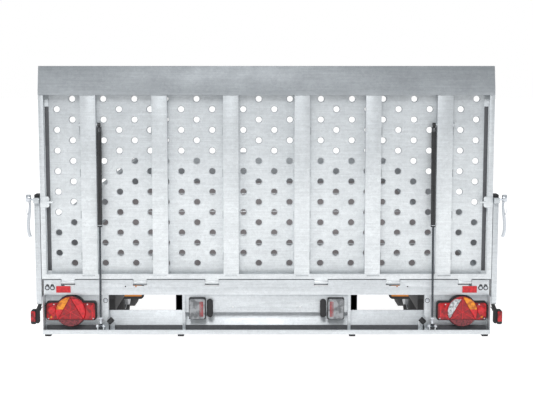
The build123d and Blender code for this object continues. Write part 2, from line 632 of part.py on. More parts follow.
# Each latch is one forging on a pivot rod: an eccentric head and a curved lever that hangs
# down. It turns in a block on the rear of the corner post.
latch_y = rear_y - 10
with BuildPart() as latch_blocks:
    block(post_in, outer_x, latch_y - 12, bed_y - post_depth, latch_z - 16, post_top)
    rod_x(post_in - 1, outer_x + 1, latch_y, latch_z, LATCH_ROD_RADIUS + PIN_CLEARANCE,
          Mode.SUBTRACT)
    mirror(about=Plane.YZ)
latch_blocks.part.label = "latch_blocks"
export_step(latch_blocks.part, "parts/latch_blocks.step")

head_x = outer_x + LATCH_REACH
lever_middle = latch_z - LEVER_LENGTH + 56
lever_end = latch_z - LEVER_LENGTH
for side_name, side in (("left", -1), ("right", 1)):
    with BuildPart() as latch_lever:
        rod_x(side * (post_in - 1), side * head_x, latch_y, latch_z, LATCH_ROD_RADIUS)
        rod_x(side * (head_x - 2), side * (head_x - 2 + LATCH_HEAD_LENGTH), latch_y,
              latch_z + LATCH_HEAD_RISE, LATCH_HEAD_RADIUS)
        with BuildSketch(Plane.XZ.offset(-latch_y + LEVER_THICKNESS / 2)):
            with BuildLine():
                Spline((side * (head_x + 3), latch_z), (side * (head_x + 10), latch_z - 60),
                       (side * (head_x + 17), lever_middle), (side * (head_x + 8), lever_end))
                Line((side * (head_x + 8), lever_end), (side * (head_x - 4), lever_end + 4))
                Spline((side * (head_x - 4), lever_end + 4), (side * (head_x + 4), lever_middle),
                       (side * (head_x - 2), latch_z - 60), (side * (head_x - 1), latch_z))
                Line((side * (head_x - 1), latch_z), (side * (head_x + 3), latch_z))
            make_face()
        extrude(amount=-LEVER_THICKNESS)
    latch_lever.part.label = f"latch_lever_{side_name}"
    export_step(latch_lever.part, f"parts/latch_lever_{side_name}.step")

# ======================= gas struts =======================

# The strut plane's tilt follows from its two pivots. Cylinder above, rod below.
lower_pivot = Vector(0, foot_y, STRUT_FOOT_Z)
upper_pivot = Vector(0, stud_y, STRUT_TOP_Z)
strut_length = (upper_pivot - lower_pivot).length
strut_axis = (upper_pivot - lower_pivot).normalized()
for side_name, side in (("left", -1), ("right", 1)):
    foot = Vector(side * strut_x, foot_y, STRUT_FOOT_Z)
    strut_plane = Plane(origin=foot, x_dir=(1, 0, 0), z_dir=strut_axis)
    cylinder_start = strut_length - CYLINDER_LENGTH - EYE_RADIUS - 3

    # Rod with its eye on the lower pin and a piston inside the cylinder.
    with BuildPart() as strut_rod:
        rod_x(foot.X - EYE_THICKNESS / 2, foot.X + EYE_THICKNESS / 2, foot_y, STRUT_FOOT_Z,
              EYE_RADIUS)
        with BuildSketch(strut_plane):
            Circle(ROD_RADIUS)
        extrude(amount=cylinder_start + 60)
        with BuildSketch(strut_plane.offset(cylinder_start + 60)):
            Circle(STRUT_BORE - PIN_CLEARANCE)
        extrude(amount=12)
        rod_x(foot.X - EYE_THICKNESS, foot.X + EYE_THICKNESS, foot_y, STRUT_FOOT_Z,
              STRUT_PIN_RADIUS + PIN_CLEARANCE, Mode.SUBTRACT)
    strut_rod.part.label = f"strut_rod_{side_name}"
    export_step(strut_rod.part, f"parts/strut_rod_{side_name}.step")

    # Cylinder, closed below by its gland and above by the neck of its eye.
    with BuildPart() as strut_cylinder:
        with BuildSketch(strut_plane.offset(cylinder_start)):
            Circle(STRUT_RADIUS)
        extrude(amount=CYLINDER_LENGTH)
        with BuildSketch(strut_plane.offset(cylinder_start + 10)):
            Circle(STRUT_BORE)
        extrude(amount=CYLINDER_LENGTH - 18, mode=Mode.SUBTRACT)
        with BuildSketch(strut_plane.offset(cylinder_start - 1)):
            Circle(ROD_RADIUS + PIN_CLEARANCE)
        extrude(amount=12, mode=Mode.SUBTRACT)
        with BuildSketch(strut_plane.offset(cylinder_start + CYLINDER_LENGTH)):
            Circle(6)
        extrude(amount=8)
        rod_x(foot.X - EYE_THICKNESS / 2, foot.X + EYE_THICKNESS / 2, stud_y, STRUT_TOP_Z,
              EYE_RADIUS)
        rod_x(foot.X - EYE_THICKNESS, foot.X + EYE_THICKNESS, stud_y, STRUT_TOP_Z,
              STRUT_PIN_RADIUS + 1 + PIN_CLEARANCE, Mode.SUBTRACT)
    strut_cylinder.part.label = f"strut_cylinder_{side_name}"
    export_step(strut_cylinder.part, f"parts/strut_cylinder_{side_name}.step")

# Pivot pins of the chassis: six through the ramp's knuckles and two through the struts' feet.
with BuildPart() as pivot_pins:
    for centre in tab_x:
        pin_half = TAB_WIDTH / 2 + NOTCH_SIDE_GAP + EAR_THICKNESS
        for side in (-1, 1):
            rod_x(side * centre - pin_half, side * centre + pin_half, hinge_y, hinge_z,
                  HINGE_PIN_RADIUS)
    bolt_half = EAR_GAP + PLATE
    for side in (-1, 1):
        rod_x(side * strut_x - bolt_half, side * strut_x + bolt_half, foot_y, STRUT_FOOT_Z,
              STRUT_PIN_RADIUS)
        for end in (-1, 1):
            head_start = side * strut_x + end * bolt_half
            rod_x(head_start, head_start + end * 5, foot_y, STRUT_FOOT_Z, 7)
pivot_pins.part.label = "pivot_pins"
export_step(pivot_pins.part, "parts/pivot_pins.step")

# ======================= axles and wheels =======================

wheel_places = (("rear", rear_y + REAR_WHEEL_Y), ("front", rear_y + REAR_WHEEL_Y + WHEEL_PITCH))
tube_end = ARM_X - 4
SEAT_HALF = 20.0
SEAT_REACH = 60.0
SEAT_PLATE = 8.0
SEAT_WEB = 10.0

# Torsion tubes across the chassis, each hung from the main rails on two seat plates.
with BuildPart() as axle_tubes:
    for place in wheel_places:
        tube_y = place[1] + ARM_REACH
        block(-tube_end, tube_end, tube_y - AXLE_TUBE / 2, tube_y + AXLE_TUBE / 2,
              axle_z - AXLE_TUBE / 2, axle_z + AXLE_TUBE / 2)
        block(-tube_end, tube_end, tube_y - AXLE_TUBE / 2 + AXLE_WALL,
              tube_y + AXLE_TUBE / 2 - AXLE_WALL, axle_z - AXLE_TUBE / 2 + AXLE_WALL,
              axle_z + AXLE_TUBE / 2 - AXLE_WALL, Mode.SUBTRACT)
        tube_top = axle_z + AXLE_TUBE / 2
        for side in (-1, 1):
            seat_x = side * (MAIN_RAIL_X + MAIN_RAIL_WIDTH / 2)
            block(seat_x - SEAT_HALF, seat_x + SEAT_HALF, tube_y - SEAT_REACH, tube_y + SEAT_REACH,
                  tube_top, tube_top + SEAT_PLATE)
            block(seat_x - SEAT_WEB / 2, seat_x + SEAT_WEB / 2, tube_y - SEAT_REACH + 10,
                  tube_y + SEAT_REACH - 10, tube_top + SEAT_PLATE, main_rail_z - SEAT_PLATE)
            block(seat_x - SEAT_HALF, seat_x + SEAT_HALF, tube_y - SEAT_REACH, tube_y + SEAT_REACH,
                  main_rail_z - SEAT_PLATE, main_rail_z)
axle_tubes.part.label = "axle_tubes"
export_step(axle_tubes.part, "parts/axle_tubes.step")

ARM_EYE_RADIUS = 34.0
ARM_HUB_RADIUS = 30.0
JOURNAL_RADIUS = 24.0
JOURNAL_LENGTH = 160.0
RIM_WALL = 5.0
DISC_THICKNESS = 6.0
DRUM_CAP = 12.0
HUB_RADIUS = 32.0
HUB_LENGTH = 24.0
NUT_CIRCLE = 56.0
NUT_RADIUS = 10.0
NUT_LENGTH = 16.0
drum_start = ARM_X + ARM_THICKNESS + 4
drum_end = drum_start + DRUM_LENGTH
disc_out = drum_end + DISC_THICKNESS
rim_in = WHEEL_X - RIM_WIDTH / 2
rim_out = WHEEL_X + RIM_WIDTH / 2
for axle_name, wheel_y in wheel_places:
    tube_y = wheel_y + ARM_REACH
    for side_name, side in (("left", -1), ("right", 1)):
        corner = f"{axle_name}_{side_name}"
        flank = Plane(origin=(side * ARM_X, 0, 0), x_dir=(0, 1, 0), z_dir=(1, 0, 0))

        # Swing arm: forged arm, journal in the torsion tube and stub axle for the hub.
        with BuildPart() as swing_arm:
            with BuildSketch(flank):
                with Locations((tube_y, axle_z)):
                    Circle(ARM_EYE_RADIUS)
                with Locations((wheel_y, TYRE_RADIUS)):
                    Circle(ARM_HUB_RADIUS)
                with BuildLine():
                    Polyline((tube_y - 8, axle_z + ARM_EYE_RADIUS - 2),
                             (tube_y + 10, axle_z - ARM_EYE_RADIUS + 2),
                             (wheel_y + 10, TYRE_RADIUS - ARM_HUB_RADIUS + 2),
                             (wheel_y - 8, TYRE_RADIUS + ARM_HUB_RADIUS - 2), close=True)
                make_face()
            extrude(amount=side * ARM_THICKNESS)
            rod_x(side * (ARM_X - JOURNAL_LENGTH), side * ARM_X, tube_y, axle_z, JOURNAL_RADIUS)
            rod_x(side * ARM_X, side * (drum_end - DRUM_CAP - 2), wheel_y, TYRE_RADIUS, STUB_RADIUS)
        swing_arm.part.label = f"swing_arm_{corner}"
        export_step(swing_arm.part, f"parts/swing_arm_{corner}.step")

        # Wheel: rolled rim with a dished disc, the brake drum behind it and five wheel nuts.
        with BuildPart() as wheel_rim:
            rod_x(side * rim_in, side * rim_out, wheel_y, TYRE_RADIUS, RIM_RADIUS)
            rod_x(side * (rim_in - 1), side * drum_end, wheel_y, TYRE_RADIUS,
                  RIM_RADIUS - RIM_WALL, Mode.SUBTRACT)
            rod_x(side * disc_out, side * (rim_out + 1), wheel_y, TYRE_RADIUS,
                  RIM_RADIUS - RIM_WALL, Mode.SUBTRACT)
            rod_x(side * drum_start, side * drum_end, wheel_y, TYRE_RADIUS, DRUM_RADIUS)
            rod_x(side * (drum_start - 1), side * (drum_end - DRUM_CAP), wheel_y, TYRE_RADIUS,
                  STUB_RADIUS + PIN_CLEARANCE, Mode.SUBTRACT)
            rod_x(side * disc_out, side * (disc_out + HUB_LENGTH), wheel_y, TYRE_RADIUS, HUB_RADIUS)
            for index in range(5):
                angle = math.radians(72 * index)
                rod_x(side * disc_out, side * (disc_out + NUT_LENGTH),
                      wheel_y + NUT_CIRCLE * math.cos(angle),
                      TYRE_RADIUS + NUT_CIRCLE * math.sin(angle), NUT_RADIUS)
        wheel_rim.part.label = f"wheel_{corner}"
        export_step(wheel_rim.part, f"parts/wheel_{corner}.step")

        # Tyre: a hollow ring with rounded shoulders on the rim.
        tyre_half = TYRE_WIDTH / 2
        bead = RIM_WIDTH / 2 - 2
        widest = RIM_RADIUS + 38
        shoulder = TYRE_RADIUS - 26
        wheel_plane = Plane(origin=(side * WHEEL_X, wheel_y, TYRE_RADIUS),
                            x_dir=(1, 0, 0), z_dir=(0, -1, 0))
        with BuildPart() as tyre:
            with BuildSketch(wheel_plane):
                with BuildLine():
                    Polyline((-bead, RIM_RADIUS), (-tyre_half, widest), (-tyre_half + 4, shoulder),
                             (-tyre_half + 22, TYRE_RADIUS), (tyre_half - 22, TYRE_RADIUS),
                             (tyre_half - 4, shoulder), (tyre_half, widest), (bead, RIM_RADIUS),
                             (bead - 12, RIM_RADIUS), (tyre_half - 10, widest),
                             (tyre_half - 14, shoulder - 2), (tyre_half - 30, TYRE_RADIUS - 12),
                             (-tyre_half + 30, TYRE_RADIUS - 12), (-tyre_half + 14, shoulder - 2),
                             (-tyre_half + 10, widest), (-bead + 12, RIM_RADIUS), close=True)
                make_face()
            revolve(axis=Axis((0, wheel_y, TYRE_RADIUS), (1, 0, 0)))
        tyre.part.label = f"tyre_{corner}"
        export_step(tyre.part, f"parts/tyre_{corner}.step")

# Mudguards: one black shell over each pair of wheels, its ends curving down.
guard_in = ARM_X + ARM_THICKNESS + 2
guard_out = outer_x - RAIL_WIDTH - 2
GUARD_GAP = 50.0                 # guard's ends beyond the tyres
GUARD_BOTTOM = 330.0
GUARD_ROUND = 90.0
guard_rear = rear_y + REAR_WHEEL_Y - TYRE_RADIUS - GUARD_GAP
guard_front = rear_y + REAR_WHEEL_Y + WHEEL_PITCH + TYRE_RADIUS + GUARD_GAP
guard_top = cross_bottom - 2
with BuildPart() as mudguards:
    with BuildSketch(Plane.YZ.offset(guard_in)):
        with BuildLine():
            FilletPolyline((guard_rear, GUARD_BOTTOM), (guard_rear, guard_top),
                           (guard_front, guard_top), (guard_front, GUARD_BOTTOM),
                           radius=GUARD_ROUND)
            offset(amount=SHEET, side=Side.RIGHT)
        make_face()
    extrude(amount=guard_out - guard_in)
    mirror(about=Plane.YZ)
mudguards.part.label = "mudguards"
export_step(mudguards.part, "parts/mudguards.step")

# Splash guards: a lengthwise black panel inside each rear corner, and the mudflap ahead of it.
SPLASH_X = 770.0
SPLASH_BACK = 510.0
SPLASH_BOTTOM = 346.0
MUDFLAP_BACK = 1355.0
MUDFLAP_IN = 710.0
MUDFLAP_BOTTOM = 236.0
MUDFLAP_ROUND = 26.0
MUDFLAP_THICKNESS = 4.0
flap_back = rear_y + MUDFLAP_BACK
with BuildPart() as splash_guards:
    block(SPLASH_X, SPLASH_X + SHEET, rear_y + SPLASH_BACK, flap_back - 2, SPLASH_BOTTOM,
          cross_bottom)
    with BuildSketch(Plane.XZ.offset(-flap_back)):
        with BuildLine():
            Polyline((MUDFLAP_IN, MUDFLAP_BOTTOM), (guard_out, MUDFLAP_BOTTOM),
                     (guard_out, cross_bottom), (MUDFLAP_IN, cross_bottom), close=True)
        make_face()
        fillet(vertices().group_by(Axis.Y)[0], MUDFLAP_ROUND)
    extrude(amount=-MUDFLAP_THICKNESS)
    mirror(about=Plane.YZ)
splash_guards.part.label = "splash_guards"
export_step(splash_guards.part, "parts/splash_guards.step")

# ======================= drawbar and coupling =======================

# Drawbar arms: box sections from the ends of the main rails to the nose plate.
NOSE_PLATE_HALF = 90.0
NOSE_PLATE_MARGIN = 10.0
arm_start_x = MAIN_RAIL_X + MAIN_RAIL_WIDTH / 2
arm_angle = math.atan2(arm_start_x - NOSE_HALF, nose_y - rail_end)
arm_half = ARM_WIDTH / 2 / math.cos(arm_angle)
wall_half = arm_half - PLATE / math.cos(arm_angle)
with BuildPart() as drawbar_arms:
    for half, low, high, mode in (
            (arm_half, DRAWBAR_Z, DRAWBAR_Z + ARM_HEIGHT, Mode.ADD),
            (wall_half, DRAWBAR_Z + PLATE, DRAWBAR_Z + ARM_HEIGHT - PLATE, Mode.SUBTRACT)):
        with BuildSketch(Plane.XY.offset(low)):
            with BuildLine():
                Polyline((arm_start_x - half, rail_end), (arm_start_x + half, rail_end),
                         (NOSE_HALF + half, nose_y), (NOSE_HALF - half, nose_y), close=True)
            make_face()
        extrude(amount=high - low, mode=mode)
    pack_x = arm_start_x - math.tan(arm_angle) * (front_y - CROSS_WIDTH / 2 - rail_end)
    block(pack_x - 25, pack_x + 25, front_y - CROSS_WIDTH, front_y,
          DRAWBAR_Z + ARM_HEIGHT, cross_bottom)
    mirror(about=Plane.YZ)
    block(-NOSE_PLATE_HALF, NOSE_PLATE_HALF, nose_y, nose_y + NOSE_PLATE,
          DRAWBAR_Z - NOSE_PLATE_MARGIN, DRAWBAR_Z + ARM_HEIGHT + NOSE_PLATE_MARGIN)
drawbar_arms.part.label = "drawbar_arms"
export_step(drawbar_arms.part, "parts/drawbar_arms.step")

HOUSING_RADIUS = 40.0
FLANGE_HALF = 80.0
FLANGE_THICKNESS = 14.0
BRAKE_PIVOT_RADIUS = 8.0
BRAKE_PIVOT_Y = 60.0             # handbrake pivot ahead of the housing's foot and above its axis
BRAKE_PIVOT_Z = 60.0
BRAKE_CHEEK_OUT = 58.0
BRAKE_CHEEK_HALF = 30.0

# Overrun housing: a cast tube with a foot flange, bored for the drawtube.
tow_z = DRAWBAR_Z + ARM_HEIGHT / 2
housing_y = nose_y + NOSE_PLATE
housing_end = housing_y + HOUSING_LENGTH
brake_y = housing_y + BRAKE_PIVOT_Y
brake_z = tow_z + BRAKE_PIVOT_Z
with BuildPart() as overrun_housing:
    rod_y(0, housing_y, housing_end, tow_z, HOUSING_RADIUS)
    block(-FLANGE_HALF, FLANGE_HALF, housing_y, housing_y + FLANGE_THICKNESS,
          tow_z - HOUSING_RADIUS - 5, tow_z + HOUSING_RADIUS + 5)
    block(-12, 12, housing_y, housing_end - 30, tow_z + HOUSING_RADIUS - 4, tow_z + 62)
    block(BRAKE_CHEEK_OUT - 18, BRAKE_CHEEK_OUT, brake_y - BRAKE_CHEEK_HALF,
          brake_y + BRAKE_CHEEK_HALF, tow_z - 30, brake_z + 18)
    block(20, BRAKE_CHEEK_OUT, brake_y - BRAKE_CHEEK_HALF, brake_y + BRAKE_CHEEK_HALF,
          tow_z - 20, tow_z + 20)
    rod_y(0, housing_y - 1, housing_end + 1, tow_z, DRAWTUBE_RADIUS + PIN_CLEARANCE,
          Mode.SUBTRACT)
    rod_x(30, BRAKE_CHEEK_OUT + 2, brake_y, brake_z, BRAKE_PIVOT_RADIUS + PIN_CLEARANCE,
          Mode.SUBTRACT)
overrun_housing.part.label = "overrun_housing"
export_step(overrun_housing.part, "parts/overrun_housing.step")

# Drawtube: slides back into the housing as the trailer overruns.
TUBE_SOCKET = 40.0               # length of the drawtube inside the coupling head
TUBE_WALL = 5.0
head_y = housing_end + GAITER_LENGTH
with BuildPart() as drawtube:
    rod_y(0, housing_y + 90, head_y + TUBE_SOCKET, tow_z, DRAWTUBE_RADIUS)
    rod_y(0, housing_y + 89, head_y + TUBE_SOCKET + 1, tow_z, DRAWTUBE_RADIUS - TUBE_WALL,
          Mode.SUBTRACT)
drawtube.part.label = "drawtube"
export_step(drawtube.part, "parts/drawtube.step")

# Gaiter: the rubber bellows' collar on the housing; the folds ride on the drawtube.
COLLAR_LENGTH = 12.0
COLLAR_RADIUS = 38.0
with BuildPart() as gaiter:
    rod_y(0, housing_end, housing_end + COLLAR_LENGTH, tow_z, COLLAR_RADIUS)
    rod_y(0, housing_end - 1, housing_end + COLLAR_LENGTH + 1, tow_z, DRAWTUBE_RADIUS + 2,
          Mode.SUBTRACT)
gaiter.part.label = "gaiter"
export_step(gaiter.part, "parts/gaiter.step")

# Coupling head: a pressed shell clamped on the drawtube, with a ball socket open below.
DOME_RADIUS = 42.0
NECK_RADIUS = 33.0
HEAD_TOP = 36.0
HEAD_BOTTOM = 30.0
ball_y = head_y + HEAD_LENGTH - DOME_RADIUS
head_top = tow_z + HEAD_TOP
with BuildPart() as coupling_head:
    rod_y(0, head_y, ball_y - 20, tow_z, NECK_RADIUS)
    rod_z(0, ball_y, tow_z - HEAD_BOTTOM, head_top, DOME_RADIUS)
    block(-NECK_RADIUS, NECK_RADIUS, ball_y - 60, ball_y, tow_z - 24, head_top)
    with Locations((0, ball_y, tow_z)):
        Sphere(BALL_RADIUS, mode=Mode.SUBTRACT)
    rod_z(0, ball_y, tow_z - HEAD_BOTTOM - 10, tow_z, BALL_RADIUS, Mode.SUBTRACT)
    rod_y(0, head_y - 1, head_y + TUBE_SOCKET, tow_z, DRAWTUBE_RADIUS, Mode.SUBTRACT)
coupling_head.part.label = "coupling_head"
export_step(coupling_head.part, "parts/coupling_head.step")

# Coupling handle: a fork over the head on a cross pin.
HANDLE_HALF = 14.0
handle_y = ball_y - 50
handle_z = head_top + 8
with BuildPart() as coupling_handle:
    rod_x(-20, 20, handle_y, handle_z, 7)
    block(-HANDLE_HALF, HANDLE_HALF, handle_y, handle_y + 50, handle_z + 1, handle_z + 9)
    with BuildSketch(Plane.YZ.offset(-HANDLE_HALF)):
        with BuildLine():
            Polyline((handle_y + 45, handle_z + 1), (handle_y + 84, handle_z + 34),
                     (handle_y + 84, handle_z + 46), (handle_y + 45, handle_z + 9), close=True)
        make_face()
    extrude(amount=2 * HANDLE_HALF)
coupling_handle.part.label = "coupling_handle"
export_step(coupling_handle.part, "parts/coupling_handle.step")

# Handbrake lever: pivoted in the side of the housing, lying forward when released.
LEVER_REACH = 360.0
LEVER_HUB_RADIUS = 20.0
LEVER_PLATE = 8.0
brake_plane = Plane(origin=(BRAKE_CHEEK_OUT + 0.5, brake_y, brake_z), x_dir=(0, 1, 0),
                    z_dir=(1, 0, 0))
with BuildPart() as handbrake_lever:
    rod_x(BRAKE_CHEEK_OUT - 17.5, BRAKE_CHEEK_OUT + 0.5, brake_y, brake_z, BRAKE_PIVOT_RADIUS)
    with BuildSketch(brake_plane):
        Circle(LEVER_HUB_RADIUS)
        with BuildLine():
            Polyline((-4, 18), (8, -18), (LEVER_REACH, 100), (LEVER_REACH - 4, 120), close=True)
        make_face()
    extrude(amount=LEVER_PLATE)
handbrake_lever.part.label = "handbrake_lever"
export_step(handbrake_lever.part, "parts/handbrake_lever.step")

# ======================= jockey wheel =======================

CLAMP_WALL = 11.0
CLAMP_BOTTOM = DRAWBAR_Z - 8
CLAMP_TOP = DRAWBAR_Z + 70
SCREW_RADIUS = 6.0
CRANK_REACH = 120.0
CRANK_HALF = 9.0
CRANK_GRIP = 12.0
FORK_PLATE = 5.0
FORK_HALF = 14.0
FORK_AXLE_RADIUS = 8.0
jockey_y = nose_y - JOCKEY_BACK
with BuildPart() as jockey_clamp:
    rod_z(JOCKEY_X, jockey_y, CLAMP_BOTTOM, CLAMP_TOP, JOCKEY_RADIUS + CLAMP_WALL)
    block(JOCKEY_X, -50, jockey_y - 30, jockey_y + 30, CLAMP_BOTTOM, DRAWBAR_Z)
    rod_z(JOCKEY_X, jockey_y, CLAMP_BOTTOM - 1, CLAMP_TOP + 1, JOCKEY_RADIUS + PIN_CLEARANCE,
          Mode.SUBTRACT)
jockey_clamp.part.label = "jockey_clamp"
export_step(jockey_clamp.part, "parts/jockey_clamp.step")

with BuildPart() as jockey_tube:
    rod_z(JOCKEY_X, jockey_y, JOCKEY_BOTTOM_Z, JOCKEY_TOP_Z, JOCKEY_RADIUS)
    rod_z(JOCKEY_X, jockey_y, JOCKEY_BOTTOM_Z - 1, JOCKEY_TOP_Z - 4, JOCKEY_INNER + PIN_CLEARANCE,
          Mode.SUBTRACT)
    rod_z(JOCKEY_X, jockey_y, JOCKEY_TOP_Z - 5, JOCKEY_TOP_Z + 1,
          SCREW_RADIUS + PIN_CLEARANCE, Mode.SUBTRACT)
jockey_tube.part.label = "jockey_tube"
export_step(jockey_tube.part, "parts/jockey_tube.step")

fork_top = 2 * JOCKEY_WHEEL_RADIUS - 14
inner_top = JOCKEY_TOP_Z - 170
with BuildPart() as jockey_inner:
    rod_z(JOCKEY_X, jockey_y, fork_top + 26, inner_top, JOCKEY_INNER)
    rod_z(JOCKEY_X, jockey_y, fork_top + 25, inner_top + 1, JOCKEY_INNER - 4, Mode.SUBTRACT)
    rod_z(JOCKEY_X, jockey_y, fork_top + 26, fork_top + 34, JOCKEY_INNER)
jockey_inner.part.label = "jockey_inner"
export_step(jockey_inner.part, "parts/jockey_inner.step")

# Crank with the screw that lifts the inner tube.
with BuildPart() as jockey_crank:
    rod_z(JOCKEY_X, jockey_y, fork_top + 180, JOCKEY_TOP_Z + 22, SCREW_RADIUS)
    block(JOCKEY_X - CRANK_REACH - 10, JOCKEY_X + CRANK_HALF, jockey_y - CRANK_HALF,
          jockey_y + CRANK_HALF, JOCKEY_TOP_Z + 14, JOCKEY_TOP_Z + 22)
    rod_z(JOCKEY_X - CRANK_REACH, jockey_y, JOCKEY_TOP_Z + 22, JOCKEY_TOP_Z + 100, CRANK_GRIP)
jockey_crank.part.label = "jockey_crank"
export_step(jockey_crank.part, "parts/jockey_crank.step")

jockey_axle_y = jockey_y - JOCKEY_TRAIL
fork_in = JOCKEY_WHEEL_WIDTH / 2 + 4
with BuildPart() as jockey_fork:
    rod_z(JOCKEY_X, jockey_y, fork_top + 20, fork_top + 25.5, 26)
    block(JOCKEY_X - fork_in - FORK_PLATE, JOCKEY_X + fork_in + FORK_PLATE,
          jockey_axle_y - FORK_HALF, jockey_y + 22, fork_top + 14, fork_top + 20)
    for side in (-1, 1):
        plate_in = JOCKEY_X + side * (fork_in + FORK_PLATE / 2) - FORK_PLATE / 2
        block(plate_in, plate_in + FORK_PLATE, jockey_axle_y - FORK_HALF, jockey_y + 22,
              fork_top - 10, fork_top + 14)
        block(plate_in, plate_in + FORK_PLATE, jockey_axle_y - FORK_HALF,
              jockey_axle_y + FORK_HALF, JOCKEY_WHEEL_RADIUS - FORK_HALF, fork_top - 10)
    rod_x(JOCKEY_X - fork_in - 9, JOCKEY_X + fork_in + 9, jockey_axle_y, JOCKEY_WHEEL_RADIUS,
          FORK_AXLE_RADIUS)
jockey_fork.part.label = "jockey_fork"
export_step(jockey_fork.part, "parts/jockey_fork.step")

with BuildPart() as jockey_wheel:
    rod_x(JOCKEY_X - JOCKEY_WHEEL_WIDTH / 2, JOCKEY_X + JOCKEY_WHEEL_WIDTH / 2, jockey_axle_y,
          JOCKEY_WHEEL_RADIUS, JOCKEY_WHEEL_RADIUS)
    fillet(edges().filter_by(GeomType.CIRCLE), 8)
    rod_x(JOCKEY_X - 40, JOCKEY_X + 40, jockey_axle_y, JOCKEY_WHEEL_RADIUS,
          FORK_AXLE_RADIUS + PIN_CLEARANCE, Mode.SUBTRACT)
jockey_wheel.part.label = "jockey_wheel"
export_step(jockey_wheel.part, "parts/jockey_wheel.step")
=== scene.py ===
import math

import bpy
from mathutils import Matrix, Vector


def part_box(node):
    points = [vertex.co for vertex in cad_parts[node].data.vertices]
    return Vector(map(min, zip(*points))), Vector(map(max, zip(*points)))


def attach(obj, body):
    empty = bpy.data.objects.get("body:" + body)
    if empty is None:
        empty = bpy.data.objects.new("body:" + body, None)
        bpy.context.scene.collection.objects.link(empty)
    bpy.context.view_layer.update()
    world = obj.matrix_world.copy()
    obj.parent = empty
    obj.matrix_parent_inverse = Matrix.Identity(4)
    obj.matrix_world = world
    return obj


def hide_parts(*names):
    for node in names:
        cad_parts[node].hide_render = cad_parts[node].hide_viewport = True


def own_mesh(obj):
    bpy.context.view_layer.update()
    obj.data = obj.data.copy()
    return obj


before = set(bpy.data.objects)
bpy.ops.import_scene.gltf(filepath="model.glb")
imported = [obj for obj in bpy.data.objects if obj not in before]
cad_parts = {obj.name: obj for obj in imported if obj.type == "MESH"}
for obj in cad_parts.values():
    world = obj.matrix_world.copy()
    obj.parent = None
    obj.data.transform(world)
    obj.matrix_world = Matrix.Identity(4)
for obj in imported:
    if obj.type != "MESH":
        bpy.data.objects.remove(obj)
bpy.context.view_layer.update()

# ======================= camera, floor and light =======================
# The trailer stands on a pale studio floor, seen squarely from behind by someone standing
# five and a half metres away, looking slightly down on the closed ramp.
EYE_BACK = 5.5
EYE_HEIGHT = 1.621
LOOK_DOWN = 6.7
FLOOR_SIZE = 80.0
LIGHTS = (
    # name, place, aimed at, size, watts
    ("key", (-0.6, -8.5, 5.2), (0.0, -2.9, 0.8), 2.2, 170.0),
    ("fill_left", (-4.5, -8.0, 2.5), (0.0, -2.9, 0.8), 3.0, 22.0),
    ("fill_right", (4.5, -8.0, 2.5), (0.0, -2.9, 0.8), 3.0, 16.0),
    ("top", (0.0, 0.5, 7.0), (0.0, 0.0, 0.5), 7.0, 70.0),
)

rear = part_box("rear_hinge_beam")[0].y
bpy.ops.object.camera_add(
    location=(0.0, rear - EYE_BACK, EYE_HEIGHT), rotation=(math.radians(90 - LOOK_DOWN), 0.0, 0.0))
camera = bpy.context.object
camera.name = "camera"
camera.data.lens = 81.0
camera.data.sensor_width = 36.0
bpy.context.scene.camera = camera

for name, place, target, size, watts in LIGHTS:
    aim = (Vector(target) - Vector(place)).to_track_quat("-Z", "Y").to_euler()
    bpy.ops.object.light_add(type="AREA", location=place, rotation=aim)
    light = bpy.context.object
    light.name = name
    light.data.shape = "SQUARE"
    light.data.size = size
    light.data.energy = watts


def linear(code):
    """A sRGB hex colour as the linear RGBA that a shader takes."""
    parts = [int(code[i:i + 2], 16) / 255 for i in (1, 3, 5)]
    return [c / 12.92 if c <= 0.04045 else ((c + 0.055) / 1.055) ** 2.4 for c in parts] + [1.0]


def add(tree, kind, settings=None, links=None):
    """Adds one node to a tree: settings go to its inputs or attributes, and links come as
    {input: (node, output)}."""
    made = tree.nodes.new(kind)
    for key, value in (settings or {}).items():
        if isinstance(key, int) or key in made.inputs:
            made.inputs[key].default_value = value
        else:
            setattr(made, key, value)
    for key, (source, output) in (links or {}).items():
        tree.links.new(source.outputs[output], made.inputs[key])
    return made


bpy.context.scene.view_settings.view_transform = "Standard"
world = bpy.data.worlds.new("studio")
bpy.context.scene.world = world
world.use_nodes = True
world.node_tree.nodes.clear()
seen = add(world.node_tree, "ShaderNodeLightPath")
lit_sky = add(world.node_tree, "ShaderNodeBackground", {"Color": linear("#eef1f4"), "Strength": 0.5})
shown_sky = add(world.node_tree, "ShaderNodeBackground", {"Color": linear("#ffffff"), "Strength": 1.0})
sky = add(world.node_tree, "ShaderNodeMixShader", None,
          {0: (seen, "Is Camera Ray"), 1: (lit_sky, 0), 2: (shown_sky, 0)})
add(world.node_tree, "ShaderNodeOutputWorld", None, {"Surface": (sky, 0)})


def material(name, metallic, roughness, colour, more=None):
    """A material named for what the piece is made of, its fixed values on the shader's sockets.
    Returns the material, its tree and its shader."""
    made = bpy.data.materials.new(name)
    made.use_nodes = True
    tree = made.node_tree
    shader = tree.nodes["Principled BSDF"]
    shader.inputs["Base Color"].default_value = linear(colour)
    shader.inputs["Metallic"].default_value = metallic
    shader.inputs["Roughness"].default_value = roughness
    for key, value in (more or {}).items():
        shader.inputs[key].default_value = value
    return made, tree, shader


def noise(tree, size, detail=2.0, roughness=0.5, place=None):
    """Cloudy variation about `size` metres across, on the piece's own coordinates."""
    place = place or (add(tree, "ShaderNodeTexCoord"), "Object")
    return add(tree, "ShaderNodeTexNoise", {"Scale": 1 / size, "Detail": detail, "Roughness": roughness},
               {"Vector": place})


def spread(tree, source, low, high, source_low=0.0, source_high=1.0):
    """Stretches the part of a value between two limits onto low to high."""
    return add(tree, "ShaderNodeMapRange", {"From Min": source_low, "From Max": source_high,
               "To Min": low, "To Max": high}, {"Value": source})


